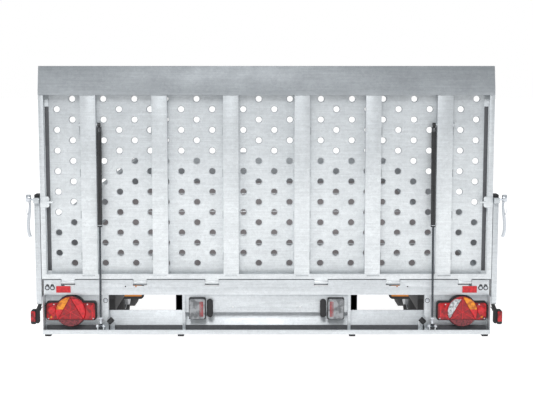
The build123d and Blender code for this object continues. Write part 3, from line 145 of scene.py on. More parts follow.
def tint(tree, shader, factor, dark, light):
    """Colours a shader between two sRGB values."""
    tone = add(tree, "ShaderNodeMix", {"data_type": "RGBA", 6: linear(dark), 7: linear(light)},
               {0: factor})
    tree.links.new(tone.outputs[2], shader.inputs["Base Color"])


def relief(tree, shader, height, strength, depth):
    """Gives a shader a bump `depth` metres deep."""
    bump = add(tree, "ShaderNodeBump", {"Strength": strength, "Distance": depth}, {"Height": height})
    tree.links.new(bump.outputs[0], shader.inputs["Normal"])


# Matt vinyl studio floor: near white, with the faint cloudiness of rolled paint a hand wide,
# lit evenly enough that it meets the backdrop without an edge.
studio_floor, tree, shader = material("studio_floor_paint", 0.0, 0.9, "#a8a8a8",
                                      {"Emission Color": linear("#ffffff"), "Emission Strength": 0.95})
tint(tree, shader, (noise(tree, 0.1), "Fac"), "#a4a4a4", "#adadad")

bpy.ops.mesh.primitive_plane_add(size=FLOOR_SIZE, location=(0.0, 0.0, -0.001))
floor = bpy.context.object
floor.name = "studio_floor"
floor.data.materials.append(studio_floor)
bpy.ops.object.transform_apply(location=True, rotation=True, scale=True)

# ======================= ramp sheet =======================
# The walking face of the ramp: 3 mm steel sheet, punched with staggered foothold holes whose
# rims are pressed inwards, hot-dip galvanised after welding. It is welded to the ribs' flanges.
COLUMN_PITCH = 0.0718
ROW_PITCH = 0.0959
COLUMNS = 28
LOW_ROWS = 9                    # rows in the columns that start low
HIGH_ROWS = 8
LOW_ROW_Z = 0.068               # lowest hole above the ramp's bottom
RIM_RADIUS = 0.0172             # where the pressed rim leaves the flat sheet
CLEAR_RADIUS = 0.0136
RIM_DEPTH = 0.009
SHEET = 0.003
HOLE_SIDES = 20


def galvanised(name, bright, shade_and_patch_tone, low, high, patch_share=0.5, metal=0.55):
    """Hot-dip galvanised steel: matt zinc with crystal spangles about 12 mm across, cloudy
    patches a hand wide where it cooled unevenly, and thin diagonal scuffs from handling. It
    goes from `bright` at height `low` to `shade_and_patch_tone` at height `high`: painted
    shade, darker towards the top. `patch_share` is the part of that range the patches take."""
    made, tree, shader = material(name, metal, 0.42, bright)
    place = (add(tree, "ShaderNodeTexCoord"), "Object")
    height = add(tree, "ShaderNodeSeparateXYZ", None, {0: place})
    cloud = noise(tree, 0.16, 5.0, 0.62)
    # Painted shade: the zinc darkens with height, from low to high.
    rise = spread(tree, (height, "Z"), 0.0, 1.0 - patch_share, low, high)
    patch = spread(tree, (cloud, "Fac"), 0.0, patch_share, 0.35, 0.7)
    shade_and_patch = add(tree, "ShaderNodeMath", {"operation": "ADD", "use_clamp": True},
              {0: (rise, 0), 1: (patch, 0)})
    zinc = add(tree, "ShaderNodeMix", {"data_type": "RGBA", 6: linear(bright), 7: linear(shade_and_patch_tone)},
               {0: (shade_and_patch, 0)})
    crystal = add(tree, "ShaderNodeTexVoronoi", {"Scale": 1 / 0.012}, {"Vector": place})
    shade_of = add(tree, "ShaderNodeSeparateColor", None, {0: (crystal, "Color")})
    spangle = spread(tree, (shade_of, 0), 0.94, 1.03)
    speck = spread(tree, (noise(tree, 0.004, 4.0, 0.7), "Fac"), 0.91, 1.07, 0.3, 0.7)
    turned = add(tree, "ShaderNodeMapping", {"Rotation": (0.0, math.radians(38), 0.0),
                 "Scale": (4.0, 10.0, 90.0)}, {"Vector": place})
    streak = spread(tree, (noise(tree, 1 / 1.6, 6.0, 0.7, (turned, 0)), "Fac"), 0.93, 1.06, 0.40, 0.68)
    mottle = add(tree, "ShaderNodeMath", {"operation": "MULTIPLY"}, {0: (spangle, 0), 1: (streak, 0)})
    marks = add(tree, "ShaderNodeMath", {"operation": "MULTIPLY"}, {0: (mottle, 0), 1: (speck, 0)})
    worn = add(tree, "ShaderNodeMix", {"data_type": "RGBA", "blend_type": "MULTIPLY", 0: 1.0},
               {6: (zinc, 2), 7: (marks, 0)})
    tree.links.new(worn.outputs[2], shader.inputs["Base Color"])
    gloss = spread(tree, (cloud, "Fac"), 0.34, 0.56)
    tree.links.new(gloss.outputs[0], shader.inputs["Roughness"])
    relief(tree, shader, (noise(tree, 0.009, 3.0), "Fac"), 0.16, 0.001)
    return made


def apply_modifiers(piece):
    """Applies every modifier of one piece in order."""
    bpy.context.view_layer.objects.active = piece
    for modifier in list(piece.modifiers):
        bpy.ops.object.modifier_apply(modifier=modifier.name)


def pick(piece, mode, test):
    """In edit mode, selects the edges or faces whose centre passes a test."""
    bpy.ops.object.mode_set(mode="EDIT")
    bpy.ops.mesh.select_mode(type=mode)
    bpy.ops.mesh.select_all(action="DESELECT")
    bpy.ops.object.mode_set(mode="OBJECT")
    points = piece.data.vertices
    for item in (piece.data.edges if mode == "EDGE" else piece.data.polygons):
        centre = sum((points[i].co for i in item.vertices), Vector()) / len(item.vertices)
        item.select = bool(test(centre))
    bpy.ops.object.mode_set(mode="EDIT")


def fit(piece, body, finish, slot, *stands_for, angle=32):
    """Gives a finished piece its finish, smooths its round faces, and hangs it on its body."""
    bpy.ops.object.select_all(action="DESELECT")
    piece.select_set(True)
    bpy.context.view_layer.objects.active = piece
    bpy.ops.object.shade_smooth_by_angle(angle=math.radians(angle))
    piece.data.materials.clear()
    piece.data.materials.append(finish)
    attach(piece, body)
    if stands_for:
        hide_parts(*stands_for)


sheet_low, sheet_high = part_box("ramp_sheet")
row_step = ROW_PITCH / 6
first_low = sheet_low.z + LOW_ROW_Z
columns = []
for kind, rows, first in (("low", LOW_ROWS, first_low), ("high", HIGH_ROWS, first_low + ROW_PITCH / 2)):
    # One cell of the sheet: a flat rectangle round a hole, its rim pressed in three rings.
    bpy.ops.object.select_all(action="DESELECT")
    bpy.ops.mesh.primitive_grid_add(x_subdivisions=4, y_subdivisions=6, size=1.0)
    cell = bpy.context.object
    cell.name = "ramp_cell_" + kind
    bpy.ops.object.mode_set(mode="EDIT")
    bpy.ops.transform.resize(value=(COLUMN_PITCH, ROW_PITCH, 1.0))
    bpy.ops.transform.rotate(value=-math.pi / 2, orient_axis="X", center_override=(0, 0, 0))
    bpy.ops.object.mode_set(mode="OBJECT")
    pick(cell, "FACE", lambda centre: True)
    bpy.ops.mesh.delete(type="ONLY_FACE")
    pick(cell, "EDGE", lambda c: max(abs(c.x) / COLUMN_PITCH, abs(c.z) / ROW_PITCH) < 0.499)
    bpy.ops.mesh.delete(type="EDGE")
    bpy.ops.mesh.primitive_circle_add(
        vertices=HOLE_SIDES, radius=RIM_RADIUS, rotation=(math.pi / 2, 0.0, 0.0))
    bpy.ops.mesh.select_all(action="SELECT")
    bpy.ops.mesh.bridge_edge_loops()
    last_radius, last_depth = RIM_RADIUS, 0.0
    for radius, depth in ((0.0158, 0.0010), (0.0145, 0.0035), (CLEAR_RADIUS, RIM_DEPTH)):
        pick(cell, "EDGE", lambda c: Vector((c.x, c.z)).length < RIM_RADIUS * 1.001
             and c.y >= last_depth - 1e-5)
        size = radius / last_radius
        bpy.ops.mesh.extrude_region_move(TRANSFORM_OT_translate={"value": (0, depth - last_depth, 0)})
        bpy.ops.transform.resize(value=(size, 1.0, size), center_override=(0, depth, 0))
        last_radius, last_depth = radius, depth
    bpy.ops.mesh.select_all(action="SELECT")
    bpy.ops.transform.translate(
        value=(-COLUMN_PITCH * (COLUMNS - 1) / 2 + (COLUMN_PITCH if kind == "low" else 0.0),
               sheet_low.y, first))
    bpy.ops.object.mode_set(mode="OBJECT")
    stack = cell.modifiers.new("rows", "ARRAY")
    stack.use_relative_offset = False
    stack.use_constant_offset = True
    stack.constant_offset_displace = (0.0, 0.0, ROW_PITCH)
    stack.count = rows
    stack.use_merge_vertices = True
    stack.merge_threshold = 0.0001
    apply_modifiers(cell)
    if kind == "high":
        for way, edge_z in ((-1, first - ROW_PITCH / 2), (1, first + ROW_PITCH * (rows - 0.5))):
            for step in range(3):
                pick(cell, "EDGE", lambda c: abs(c.z - edge_z - way * step * row_step) < 1e-5)
                bpy.ops.mesh.extrude_region_move(
                    TRANSFORM_OT_translate={"value": (0, 0, way * row_step)})
    pick(cell, "EDGE", lambda c: abs(c.z - (first_low - ROW_PITCH / 2)) < 1e-5)
    bpy.ops.mesh.extrude_region_move(
        TRANSFORM_OT_translate={"value": (0, 0, sheet_low.z - first_low + ROW_PITCH / 2)})
    bpy.ops.object.mode_set(mode="OBJECT")
    repeat = cell.modifiers.new("columns", "ARRAY")
    repeat.use_relative_offset = False
    repeat.use_constant_offset = True
    repeat.constant_offset_displace = (2 * COLUMN_PITCH, 0.0, 0.0)
    repeat.count = COLUMNS // 2
    apply_modifiers(cell)
    columns.append(cell)


def hang(name, pieces, body, finish, slot, *stands_for):
    """Joins pieces into one and hangs it on its body."""
    fit(joined(name, pieces), body, finish, slot, *stands_for)


def joined(name, pieces):
    """Makes one piece of several."""
    bpy.ops.object.select_all(action="DESELECT")
    for piece in pieces:
        piece.select_set(True)
    bpy.context.view_layer.objects.active = pieces[0]
    bpy.ops.object.join()
    pieces[0].name = name
    pieces[0].data.name = name
    return pieces[0]


ramp_sheet = joined("ramp_sheet_perforated", columns)
bpy.ops.object.mode_set(mode="EDIT")
bpy.ops.mesh.select_all(action="SELECT")
bpy.ops.mesh.remove_doubles(threshold=0.0001)
bpy.ops.mesh.select_all(action="SELECT")
bpy.ops.mesh.bisect(plane_co=(0, 0, sheet_high.z), plane_no=(0, 0, 1), clear_outer=True)
half = COLUMN_PITCH * COLUMNS / 2
for side in (-1, 1):
    pick(ramp_sheet, "EDGE", lambda c: abs(c.x - side * half) < 1e-5)
    bpy.ops.mesh.extrude_region_move(
        TRANSFORM_OT_translate={"value": (side * (sheet_high.x - half), 0, 0)})
bpy.ops.mesh.select_all(action="SELECT")
bpy.ops.mesh.normals_make_consistent(inside=False)
bpy.ops.object.mode_set(mode="OBJECT")
if sum(p.normal.y * p.area for p in ramp_sheet.data.polygons) > 0:
    bpy.ops.object.mode_set(mode="EDIT")
    bpy.ops.mesh.flip_normals()
    bpy.ops.object.mode_set(mode="OBJECT")
wall = ramp_sheet.modifiers.new("thickness", "SOLIDIFY")
wall.thickness = SHEET
wall.offset = -1.0
apply_modifiers(ramp_sheet)
ramp_zinc = galvanised("galvanised_ramp_steel", "#e6eaec", "#a9aeb2", 0.95, 1.66, patch_share=0.22)
fit(ramp_sheet, "ramp", ramp_zinc, "galvanised_steel", "ramp_sheet")

# Painted shade: a thin dark grey strip lies inside each stile, between its flange and the
# sheet, where the stile's channel is in shade.
STRIP_IN = 1.005
STRIP_OUT = 1.023
shade_strip_grey, tree, shader = material("painted_shade_grey", 0.0, 0.7, "#55565a", {"IOR": 1.52})
tint(tree, shader, (noise(tree, 0.02, 4.0), "Fac"), "#4a4b4e", "#67686b")

# ======================= ramp frame, ribs and toe flap =======================
# Folded 3 mm steel: six top-hat ribs and two stiles stitch-welded to the sheet, a bottom rail
# with the hinge tabs, and a bent plate along the top that becomes the ramp's toe.
FOLD = 0.0016                   # corners as a press brake leaves them
RIB_WIDTH = 0.071
STITCH_LENGTH = 0.035
STITCH_STEP = 0.195
BEAD_RADIUS = 0.0026


def ease(piece, width, segments=2, angle=None):
    """Rounds off a piece's edges, or only the ones sharper than an angle in degrees."""
    rounding = piece.modifiers.new("ease", "BEVEL")
    rounding.width = width
    rounding.segments = segments
    rounding.limit_method = "ANGLE" if angle else "NONE"
    if angle:
        rounding.angle_limit = math.radians(angle)
    apply_modifiers(piece)


def recast(node, ending, body, finish, slot, width=FOLD, segments=2, angle=32, name=None):
    """Stands a copy of a CAD node's mesh in for it, merged and with its corners rounded off."""
    piece = bpy.data.objects.new(name or node + "_" + ending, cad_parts[node].data.copy())
    bpy.context.scene.collection.objects.link(piece)
    piece.data.name = piece.name
    bpy.ops.object.select_all(action="DESELECT")
    piece.select_set(True)
    bpy.context.view_layer.objects.active = piece
    bpy.ops.mesh.customdata_custom_splitnormals_clear()
    bpy.ops.object.mode_set(mode="EDIT")
    bpy.ops.mesh.select_all(action="SELECT")
    bpy.ops.mesh.remove_doubles(threshold=0.00002)
    bpy.ops.mesh.select_all(action="SELECT")
    bpy.ops.mesh.dissolve_limited(angle_limit=math.radians(0.5))
    bpy.ops.object.mode_set(mode="OBJECT")
    ease(piece, width, segments, 40)
    fit(piece, body, finish, slot, node, angle=angle)
    return piece


def settle(name):
    """Names the object just added and applies its place to its mesh."""
    piece = bpy.context.object
    piece.name = name
    piece.data.name = name
    bpy.ops.object.transform_apply(location=True, rotation=True, scale=True)
    return piece


def block(name, low, high):
    """A plain block between two corners, for the functions that round it."""
    bpy.ops.object.select_all(action="DESELECT")
    low, high = Vector(low), Vector(high)
    bpy.ops.mesh.primitive_cube_add(size=1.0, location=(low + high) / 2)
    bpy.context.object.scale = high - low
    return settle(name)


def bar(name, low, high, width=FOLD, segments=2):
    """A solid bar between two corners, its edges rounded."""
    piece = block(name, low, high)
    ease(piece, width, segments)
    return piece


def rod(name, start, end, radius, sides=24, width=0.0, tip=None):
    """A round bar between two points; `tip` is the radius at its far end."""
    bpy.ops.object.select_all(action="DESELECT")
    start, end = Vector(start), Vector(end)
    turn = (end - start).to_track_quat("Z", "Y").to_euler()
    bpy.ops.mesh.primitive_cone_add(
        vertices=sides, radius1=radius, radius2=radius if tip is None else tip,
        depth=(end - start).length, location=(start + end) / 2, rotation=turn)
    piece = settle(name)
    if width:
        ease(piece, width, angle=60)
    return piece


# The dark grey strips inside the stiles: painted shade.
strips = [bar("strip", (min(side * STRIP_IN, side * STRIP_OUT), sheet_low.y - 0.0048, sheet_low.z + 0.034),
              (max(side * STRIP_IN, side * STRIP_OUT), sheet_low.y - 0.0030, sheet_high.z - 0.07), 0.0006)
          for side in (-1, 1)]
hang("stile_shade_strips", strips, "ramp", shade_strip_grey, "moulded_rubber")

# The toe flap gets a darker copy of the same galvanised steel: painted shade.
flap_zinc_shaded = galvanised("galvanised_flap_steel_painted_shade", "#a4a9ad", "#8d9296", 1.40, 1.60, patch_share=0.6, metal=0.25)
recast("ramp_ribs", "folded", "ramp", ramp_zinc, "galvanised_steel")
recast("ramp_frame", "folded", "ramp", ramp_zinc, "galvanised_steel")
recast("toe_flap", "bent", "ramp", flap_zinc_shaded, "galvanised_steel", 0.0012)
recast("latch_keepers", "cut", "ramp", ramp_zinc, "galvanised_steel", 0.001)

rib_low, rib_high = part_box("ramp_ribs")
flap_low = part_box("toe_flap")[0]
rail_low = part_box("ramp_frame")[0]
rib_centres = [(i - 2.5) * (rib_high.x * 2 - RIB_WIDTH) / 5 for i in range(6)]
beads = []
for rib_x in rib_centres:
    for side in (-1, 1):
        bead_z = rib_low.z + 0.06
        while bead_z < flap_low.z - STITCH_LENGTH:
            foot = (rib_x + side * RIB_WIDTH / 2, rib_high.y, bead_z)
            beads.append(rod("stitch", foot, (foot[0], foot[1], bead_z + STITCH_LENGTH),
                             BEAD_RADIUS * 1.3, sides=8))
            bead_z += STITCH_STEP
    # The flap's lower edge is welded to each rib, and the rib's foot to the bottom rail.
    for weld_y, weld_z in ((flap_low.y + 0.003, flap_low.z), (rib_low.y, rail_low.z + 0.040)):
        beads.append(rod("stitch", (rib_x - 0.03, weld_y, weld_z), (rib_x + 0.03, weld_y, weld_z),
                         BEAD_RADIUS, sides=8))
stitches = joined("ramp_stitch_welds", beads)
bead_zinc = galvanised("galvanised_weld_bead", "#c3c8ca", "#9da2a5", 0.6, 1.6)
fit(stitches, "ramp", bead_zinc, "galvanised_steel")


def bolt(name, seat, axis, across=0.017, sides=6, shank=0.0):
    """A hexagon head on its washer, seated at a point and facing along an axis."""
    seat, axis = Vector(seat), Vector(axis)
    washer = rod(name, seat, seat + axis * 0.0015, across * 0.72, sides=20)
    head = rod(name, seat + axis * 0.0015, seat + axis * across * 0.5, across * 0.577, sides=sides,
               width=across * 0.05)
    parts = [washer, head]
    if shank:
        parts.append(rod(name, seat, seat - axis * shank, across * 0.28, sides=12))
    return joined(name, parts)


def button(name, seat, rise, radius, **more):
    """A low round piece that stands out rearwards from a seat."""
    return rod(name, seat + Vector((0, 0.001, 0)), seat - Vector((0, rise, 0)), radius, **more)


# Zinc-plated bolts: brighter and smoother than the dipped steel, slightly blue, with the
# faint turning marks of the washer faces.
bolt_zinc, tree, shader = material("zinc_plated_bolt", 0.85, 0.3, "#c9cdd2")
wear = (noise(tree, 0.004, 3.0), "Fac")
tint(tree, shader, wear, "#b4b9bf", "#dfe3e8")
tree.links.new(spread(tree, wear, 0.22, 0.42).outputs[0], shader.inputs["Roughness"])

stud_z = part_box("strut_cylinder_left")[1].z - 0.009
stud_y = (rib_low.y + rib_high.y) / 2 - 0.003
studs = [bolt("stud_head", (side * (rib_high.x - 0.007), stud_y, stud_z), (side, 0, 0), across=0.017)
         for side in (-1, 1)]
hang("stud_heads", studs, "ramp", bolt_zinc, "zinc_plated_steel")

# ======================= rear frame =======================
# The galvanised frame behind the ramp: a folded hinge beam, a lower beam with a sloping web,
# square posts and thin lamp plates between them, and a hollow post outside each ramp edge.
beam_zinc = galvanised("galvanised_beam_steel", "#dfe3e6", "#c4c9cc", 0.5, 1.1, patch_share=0.2)
for node in ("rear_hinge_beam", "lower_rear_beam", "rear_uprights", "centre_panel", "corner_posts",
             "latch_blocks"):
    recast(node, "folded", "chassis", beam_zinc, "galvanised_steel", 0.0012)

beam_low, beam_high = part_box("rear_hinge_beam")
lower_low, lower_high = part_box("lower_rear_beam")
foot_low, foot_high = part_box("strut_rod_left")
strut_x = -(foot_low.x + foot_high.x) / 2
foot_z = foot_low.z + 0.009
foot_y = foot_low.y + 0.009
POST_BOLT_Z = 0.503
rear_bolts, bolt_shadow_discs = [], []
# Each bolt head sits on a black rubber disc a little wider than it: painted shadow round the head.
for side in (-1, 1):
    post_seat = Vector((side * (strut_x - 0.0195), beam_low.y + 0.002, POST_BOLT_Z))
    bolt_shadow_discs.append(button("bolt_shadow_disc", post_seat, 0.001, 0.0115))
    rear_bolts.append(bolt("post_bolt", post_seat, (0, -1, 0), across=0.013))
    for way in (-1, 1):
        rear_bolts.append(bolt("foot_bolt", (side * strut_x + way * 0.015, foot_y, foot_z),
                               (way, 0, 0), across=0.013))
        # Low domed heads: the ramp's bottom rail swings close past them.
        seat = Vector((side * (beam_high.x - 0.028 + way * 0.012), beam_low.y, beam_high.z - 0.037))
        bolt_shadow_discs.append(button("bolt_shadow_disc", seat, 0.001, 0.0112))
        rear_bolts.append(rod("corner_bolt", seat, seat - Vector((0, 0.0036, 0)), 0.0088, sides=32,
                              width=0.0008, tip=0.0062))
hang("rear_bolts", rear_bolts, "chassis", bolt_zinc, "zinc_plated_steel")

# Closing plates behind the notches where the ramp's hinge tabs turn.
TAB_CENTRES = (-0.924, -0.589, -0.254, 0.254, 0.589, 0.924)
plates = [bar("closing_plate", (tab_x - 0.0328, beam_low.y + 0.0180, beam_high.z - 0.0285),
              (tab_x + 0.0328, beam_low.y + 0.0200, beam_high.z - 0.0030), 0.0004)
          for tab_x in TAB_CENTRES]
hang("hinge_notch_plates", plates, "chassis", beam_zinc, "galvanised_steel")

# Gussets: a small bent plate beside each strut's foot ties the post to the lower beam.
gussets = []
gusset_shade_rods = []
for side in (-1, 1):
    inner = side * (strut_x - 0.038)
    gusset_x = sorted((inner, inner - side * 0.022))
    gussets.append(bar("gusset", (gusset_x[0], lower_high.y - 0.05, lower_low.z + 0.004),
                       (gusset_x[1], lower_high.y - 0.045, lower_low.z + 0.05), 0.001))
    # A short black rubber rod beside each gusset, slanting up across the channel: painted shade for the
    # gusset's shaded face.
    gusset_shade_rod = Vector((side * (strut_x - 0.034), foot_y + 0.012, foot_z + 0.012))
    gusset_shade_rods.append(rod("gusset_shade_rod", gusset_shade_rod, gusset_shade_rod + Vector((-side * 0.020, 0.004, 0.020)), 0.0125, width=0.002))
hang("foot_gussets", gussets, "chassis", beam_zinc, "galvanised_steel")

# Moulded rubber: black, dull, faintly grained, greying a little where it weathers.
rubber, tree, shader = material("moulded_black_rubber", 0.0, 0.62, "#18181a", {"IOR": 1.52})
tint(tree, shader, (noise(tree, 0.03, 4.0), "Fac"), "#131315", "#2b2b2d")
relief(tree, shader, (noise(tree, 0.0012), "Fac"), 0.25, 0.0003)
recast("rubber_buffers", "moulded", "chassis", rubber, "moulded_rubber", 0.004, 3)
recast("post_caps", "moulded", "chassis", rubber, "moulded_rubber", 0.002)
# Painted shade: the black rods beside the gussets.
hang("painted_gusset_shade", gusset_shade_rods, "chassis", rubber, "moulded_rubber")
# Painted shadow: the black discs round the bolt heads.
hang("painted_bolt_shadows", bolt_shadow_discs, "chassis", rubber, "moulded_rubber")

# Painted shade: a dark grey strip lies in the corner between the lower beam's lip and its
# sloping web, along the beam's whole width, for the shade in that fold.
fold_shade_strip = bar("painted_fold_shade", (-lower_high.x + 0.004, beam_low.y + 0.018, lower_low.z + 0.0028),
            (lower_high.x - 0.004, beam_low.y + 0.031, lower_low.z + 0.028), 0.003, 3)
fit(fold_shade_strip, "chassis", shade_strip_grey, "moulded_rubber")


def dress(finish, *names):
    """Puts a finish on CAD nodes whose shape is already that of the real piece."""
    for name in names:
        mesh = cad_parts[name].data
        mesh.materials.clear()
        mesh.materials.append(finish)


dress(bolt_zinc, "pivot_pins")
dress(rubber, "marker_leads")

# ======================= rear lamps =======================
# Two moulded road lamps on a black back box: a long red body with a round multi-function disc
# on top, a raised triangle reflector in the disc, and four small screws holding the lens.
LAMP_X = 0.9115
LAMP_Z = 0.454
DISC_RADIUS = 0.072
TRIANGLE = 0.069                # centre of the disc to each corner of the triangle


def mottled(name, dark, light, size, rough, grain, depth, metallic=0.0, more=None):
    """A finish whose colour and gloss drift between two values over `size`, with a surface
    grain of its own size and depth."""
    made, tree, shader = material(name, metallic, rough[0], dark, more)
    drift = (spread(tree, (noise(tree, size, 5.0, 0.6), "Fac"), 0.0, 1.0, 0.3, 0.7), 0)
    tint(tree, shader, drift, dark, light)
    tree.links.new(spread(tree, drift, rough[0], rough[1]).outputs[0], shader.inputs["Roughness"])
    relief(tree, shader, (noise(tree, grain, 3.0), "Fac"), 0.3, depth)
    return made


def lens(name, dark, light, pitch, size=0.02):
    """Clear or tinted acrylic over a bright reflector: glossy, with rows of small prisms
    `pitch` apart that break the light up, darker where the box behind shows through."""
    made, tree, shader = material(name, 0.0, 0.3, light, {"IOR": 1.49, "Coat Weight": 0.15})
    place = (add(tree, "ShaderNodeTexCoord"), "Object")
    cells = add(tree, "ShaderNodeTexVoronoi", {"Scale": 1 / pitch, "Randomness": 0.25},
                {"Vector": place})
    behind = spread(tree, (noise(tree, size, 3.0), "Fac"), 0.0, 1.0, 0.40, 0.62)
    facet = add(tree, "ShaderNodeMath", {"operation": "MULTIPLY_ADD", 1: 0.35, "use_clamp": True},
                {0: (cells, "Distance"), 2: (behind, 0)})
    tint(tree, shader, (facet, 0), dark, light)
    relief(tree, shader, (cells, "Distance"), 0.5, pitch * 0.3)
    return made


def slab(name, low, high, corner, width):
    """A plate facing rearwards between two corners, its outline and its edges rounded."""
    piece = block(name, low, high)
    middle = (low[1] + high[1]) / 2
    pick(piece, "EDGE", lambda c: abs(c.y - middle) < 1e-4)
    bpy.ops.mesh.bevel(offset=corner, segments=6, affect="EDGES")
    bpy.ops.object.mode_set(mode="OBJECT")
    ease(piece, width, angle=60)
    return piece


def segment(name, side, turn, keep, depth):
    """The part of the lamp's disc outside one side of the triangle, as a thin raised piece.
    `turn` faces that side; `keep` cuts the piece at heights low and high."""
    piece = rod(name, (side * LAMP_X, lamp_low.y + 0.002, LAMP_Z),
                (side * LAMP_X, lamp_low.y - depth, LAMP_Z), DISC_RADIUS - 0.003, sides=64,
                tip=DISC_RADIUS - 0.005)
    away = Vector((side * math.cos(turn), 0, math.sin(turn)))
    bpy.ops.object.mode_set(mode="EDIT")
    for point, normal in ((Vector((side * LAMP_X, 0, LAMP_Z)) + away * (TRIANGLE / 2 + 0.001), -away),
                          (Vector((0, 0, LAMP_Z + keep[0])), Vector((0, 0, -1))),
                          (Vector((0, 0, LAMP_Z + keep[1])), Vector((0, 0, 1)))):
        bpy.ops.mesh.select_all(action="SELECT")
        bpy.ops.mesh.bisect(plane_co=point, plane_no=normal, clear_outer=True, use_fill=True)
    bpy.ops.mesh.select_all(action="SELECT")
    bpy.ops.mesh.normals_make_consistent(inside=False)
    bpy.ops.object.mode_set(mode="OBJECT")
    return piece


# Black moulded plastic: satin, with a fine spark-eroded grain.
black_plastic = mottled("moulded_black_plastic", "#17181a", "#242527", 0.05, (0.38, 0.52), 0.0012, 0.0002,
                        more={"IOR": 1.46})
# Red acrylic over a silvered reflector: deep red where the box shows, bright where it is silvered.
red_lens = lens("red_acrylic_lens", "#5e0c12", "#c2141e", 0.0045)
red_bright = lens("red_reflector_lens", "#b0121b", "#d8202a", 0.003, 0.012)
red_dark = lens("smoked_red_lens", "#7a1018", "#a8161f", 0.003, 0.015)
amber_lens = lens("amber_acrylic_lens", "#a8480c", "#ee961c", 0.004)
clear_lens = lens("clear_fluted_lens", "#6d6f72", "#cfd2d4", 0.004, 0.010)

lamp_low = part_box("lamp_lenses")[0]
housing_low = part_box("lamp_housings")[0]
recast("lamp_housings", "moulded", "chassis", black_plastic, "black_plastic", 0.003, 3)
face = lamp_low.y + 0.010
bodies, ribs_red, triangles, ambers, clears, screws, rims, smoked_feet = [], [], [], [], [], [], [], []
for side in (-1, 1):
    centre = Vector((side * LAMP_X, lamp_low.y, LAMP_Z))
    bodies.append(slab("body", (centre.x - 0.113, face, LAMP_Z - 0.040),
                       (centre.x + 0.113, housing_low.y, LAMP_Z + 0.040), 0.014, 0.003))
    bodies.append(rod("disc", centre + Vector((0, 0.0125, 0)), centre + Vector((0, 0.0005, 0)),
                      DISC_RADIUS, sides=64, width=0.0025, tip=DISC_RADIUS - 0.003))
    rims.append(slab("bezel", (centre.x - 0.1155, face + 0.005, LAMP_Z - 0.0425),
                     (centre.x + 0.1155, face + 0.0105, LAMP_Z + 0.0425), 0.016, 0.001))
    # Triangle reflector, its corner up, with ribs from its middle to corners and sides.
    bpy.ops.object.select_all(action="DESELECT")
    bpy.ops.mesh.primitive_cone_add(vertices=3, radius1=TRIANGLE, radius2=TRIANGLE - 0.004, depth=0.003,
                                    location=(0, 0, 0), rotation=(0, 0, 0))
    triangle = settle("triangle")
    bpy.ops.object.mode_set(mode="EDIT")
    bpy.ops.mesh.select_all(action="SELECT")
    bpy.ops.transform.rotate(value=math.pi / 2, orient_axis="X", center_override=(0, 0, 0))
    bpy.ops.object.mode_set(mode="OBJECT")
    tip = max((v.co for v in triangle.data.vertices), key=lambda c: c.z)
    if abs(tip.x) > 0.001:
        triangle.data.transform(Matrix.Rotation(math.pi, 4, "Y"))
    out = sum((v.co.y for v in triangle.data.vertices if abs(v.co.x) > TRIANGLE * 0.85), 0.0)
    if out < 0:
        triangle.data.transform(Matrix.Rotation(math.pi, 4, "Z"))
    triangle.data.transform(Matrix.Translation(centre + Vector((0, -0.0012, 0))))
    triangles.append(triangle)
    for index in range(6):
        angle = math.radians(90 + 60 * index)
        reach = TRIANGLE * 0.9 if index % 2 == 0 else TRIANGLE * 0.48
        away = Vector((math.cos(angle), 0, math.sin(angle)))
        hub = centre + Vector((0, -0.0022, 0))
        ribs_red.append(rod("rib", hub, hub + away * reach, 0.0018, sides=8))
    ambers.append(segment("amber", side, math.radians(30), (0.012, 0.08), 0.0012))
    ribs_red.append(segment("flank", side, math.radians(30), (-0.036, 0.0115), 0.0012))
    # The right lamp reverses and the left one is the fog lamp, so only one sector is clear.
    inner = segment("inner", side, math.radians(150), (-0.030, 0.06), 0.0012)
    (clears if side > 0 else ribs_red).append(inner)
    smoked_feet.append(segment("foot", side, math.radians(-90), (-0.08, -0.03), 0.0010))
    # Stop lamp at the outer end, a light guide at the inner end, and an amber side glint.
    stop = Vector((centre.x + side * 0.088, face, LAMP_Z + 0.006))
    ribs_red.append(button("stop", stop, 0.003, 0.019, sides=40, width=0.0015, tip=0.017))
    strip_x = centre.x - side * 0.101
    ribs_red.append(slab("guide", (strip_x - 0.004, face - 0.0018, LAMP_Z - 0.030),
                         (strip_x + 0.004, face + 0.001, LAMP_Z + 0.030), 0.002, 0.0006))
    glint = Vector((centre.x + side * 0.092, face, LAMP_Z - 0.026))
    ambers.append(button("glint", glint, 0.002, 0.0055, sides=20, width=0.0008))
    for way_x, way_z in ((-1, -1), (-1, 1), (1, -1), (1, 1)):
        head = Vector((centre.x + way_x * (0.104 if way_z < 0 else 0.078), face, LAMP_Z + way_z * 0.0335))
        screws.append(button("screw", head, 0.0016, 0.0038, sides=16, width=0.0007, tip=0.0030))
hang("rear_lamp_bodies", bodies, "chassis", red_lens, "red_lens", "lamp_lenses")
hang("rear_lamp_triangles", triangles, "chassis", red_dark, "red_lens")
hang("rear_lamp_ribs", ribs_red, "chassis", red_bright, "red_lens")
hang("rear_lamp_amber_sectors", ambers, "chassis", amber_lens, "clear_lens")
hang("rear_lamp_clear_sectors", clears, "chassis", clear_lens, "clear_lens")
hang("rear_lamp_bezels", rims, "chassis", black_plastic, "black_plastic")
foot_red = lens("fluted_smoked_lens", "#3c0d12", "#8a3038", 0.006, 0.008)
hang("rear_lamp_foot_sectors", smoked_feet, "chassis", foot_red, "red_lens")
hang("rear_lamp_screws", screws, "chassis", bolt_zinc, "zinc_plated_steel")

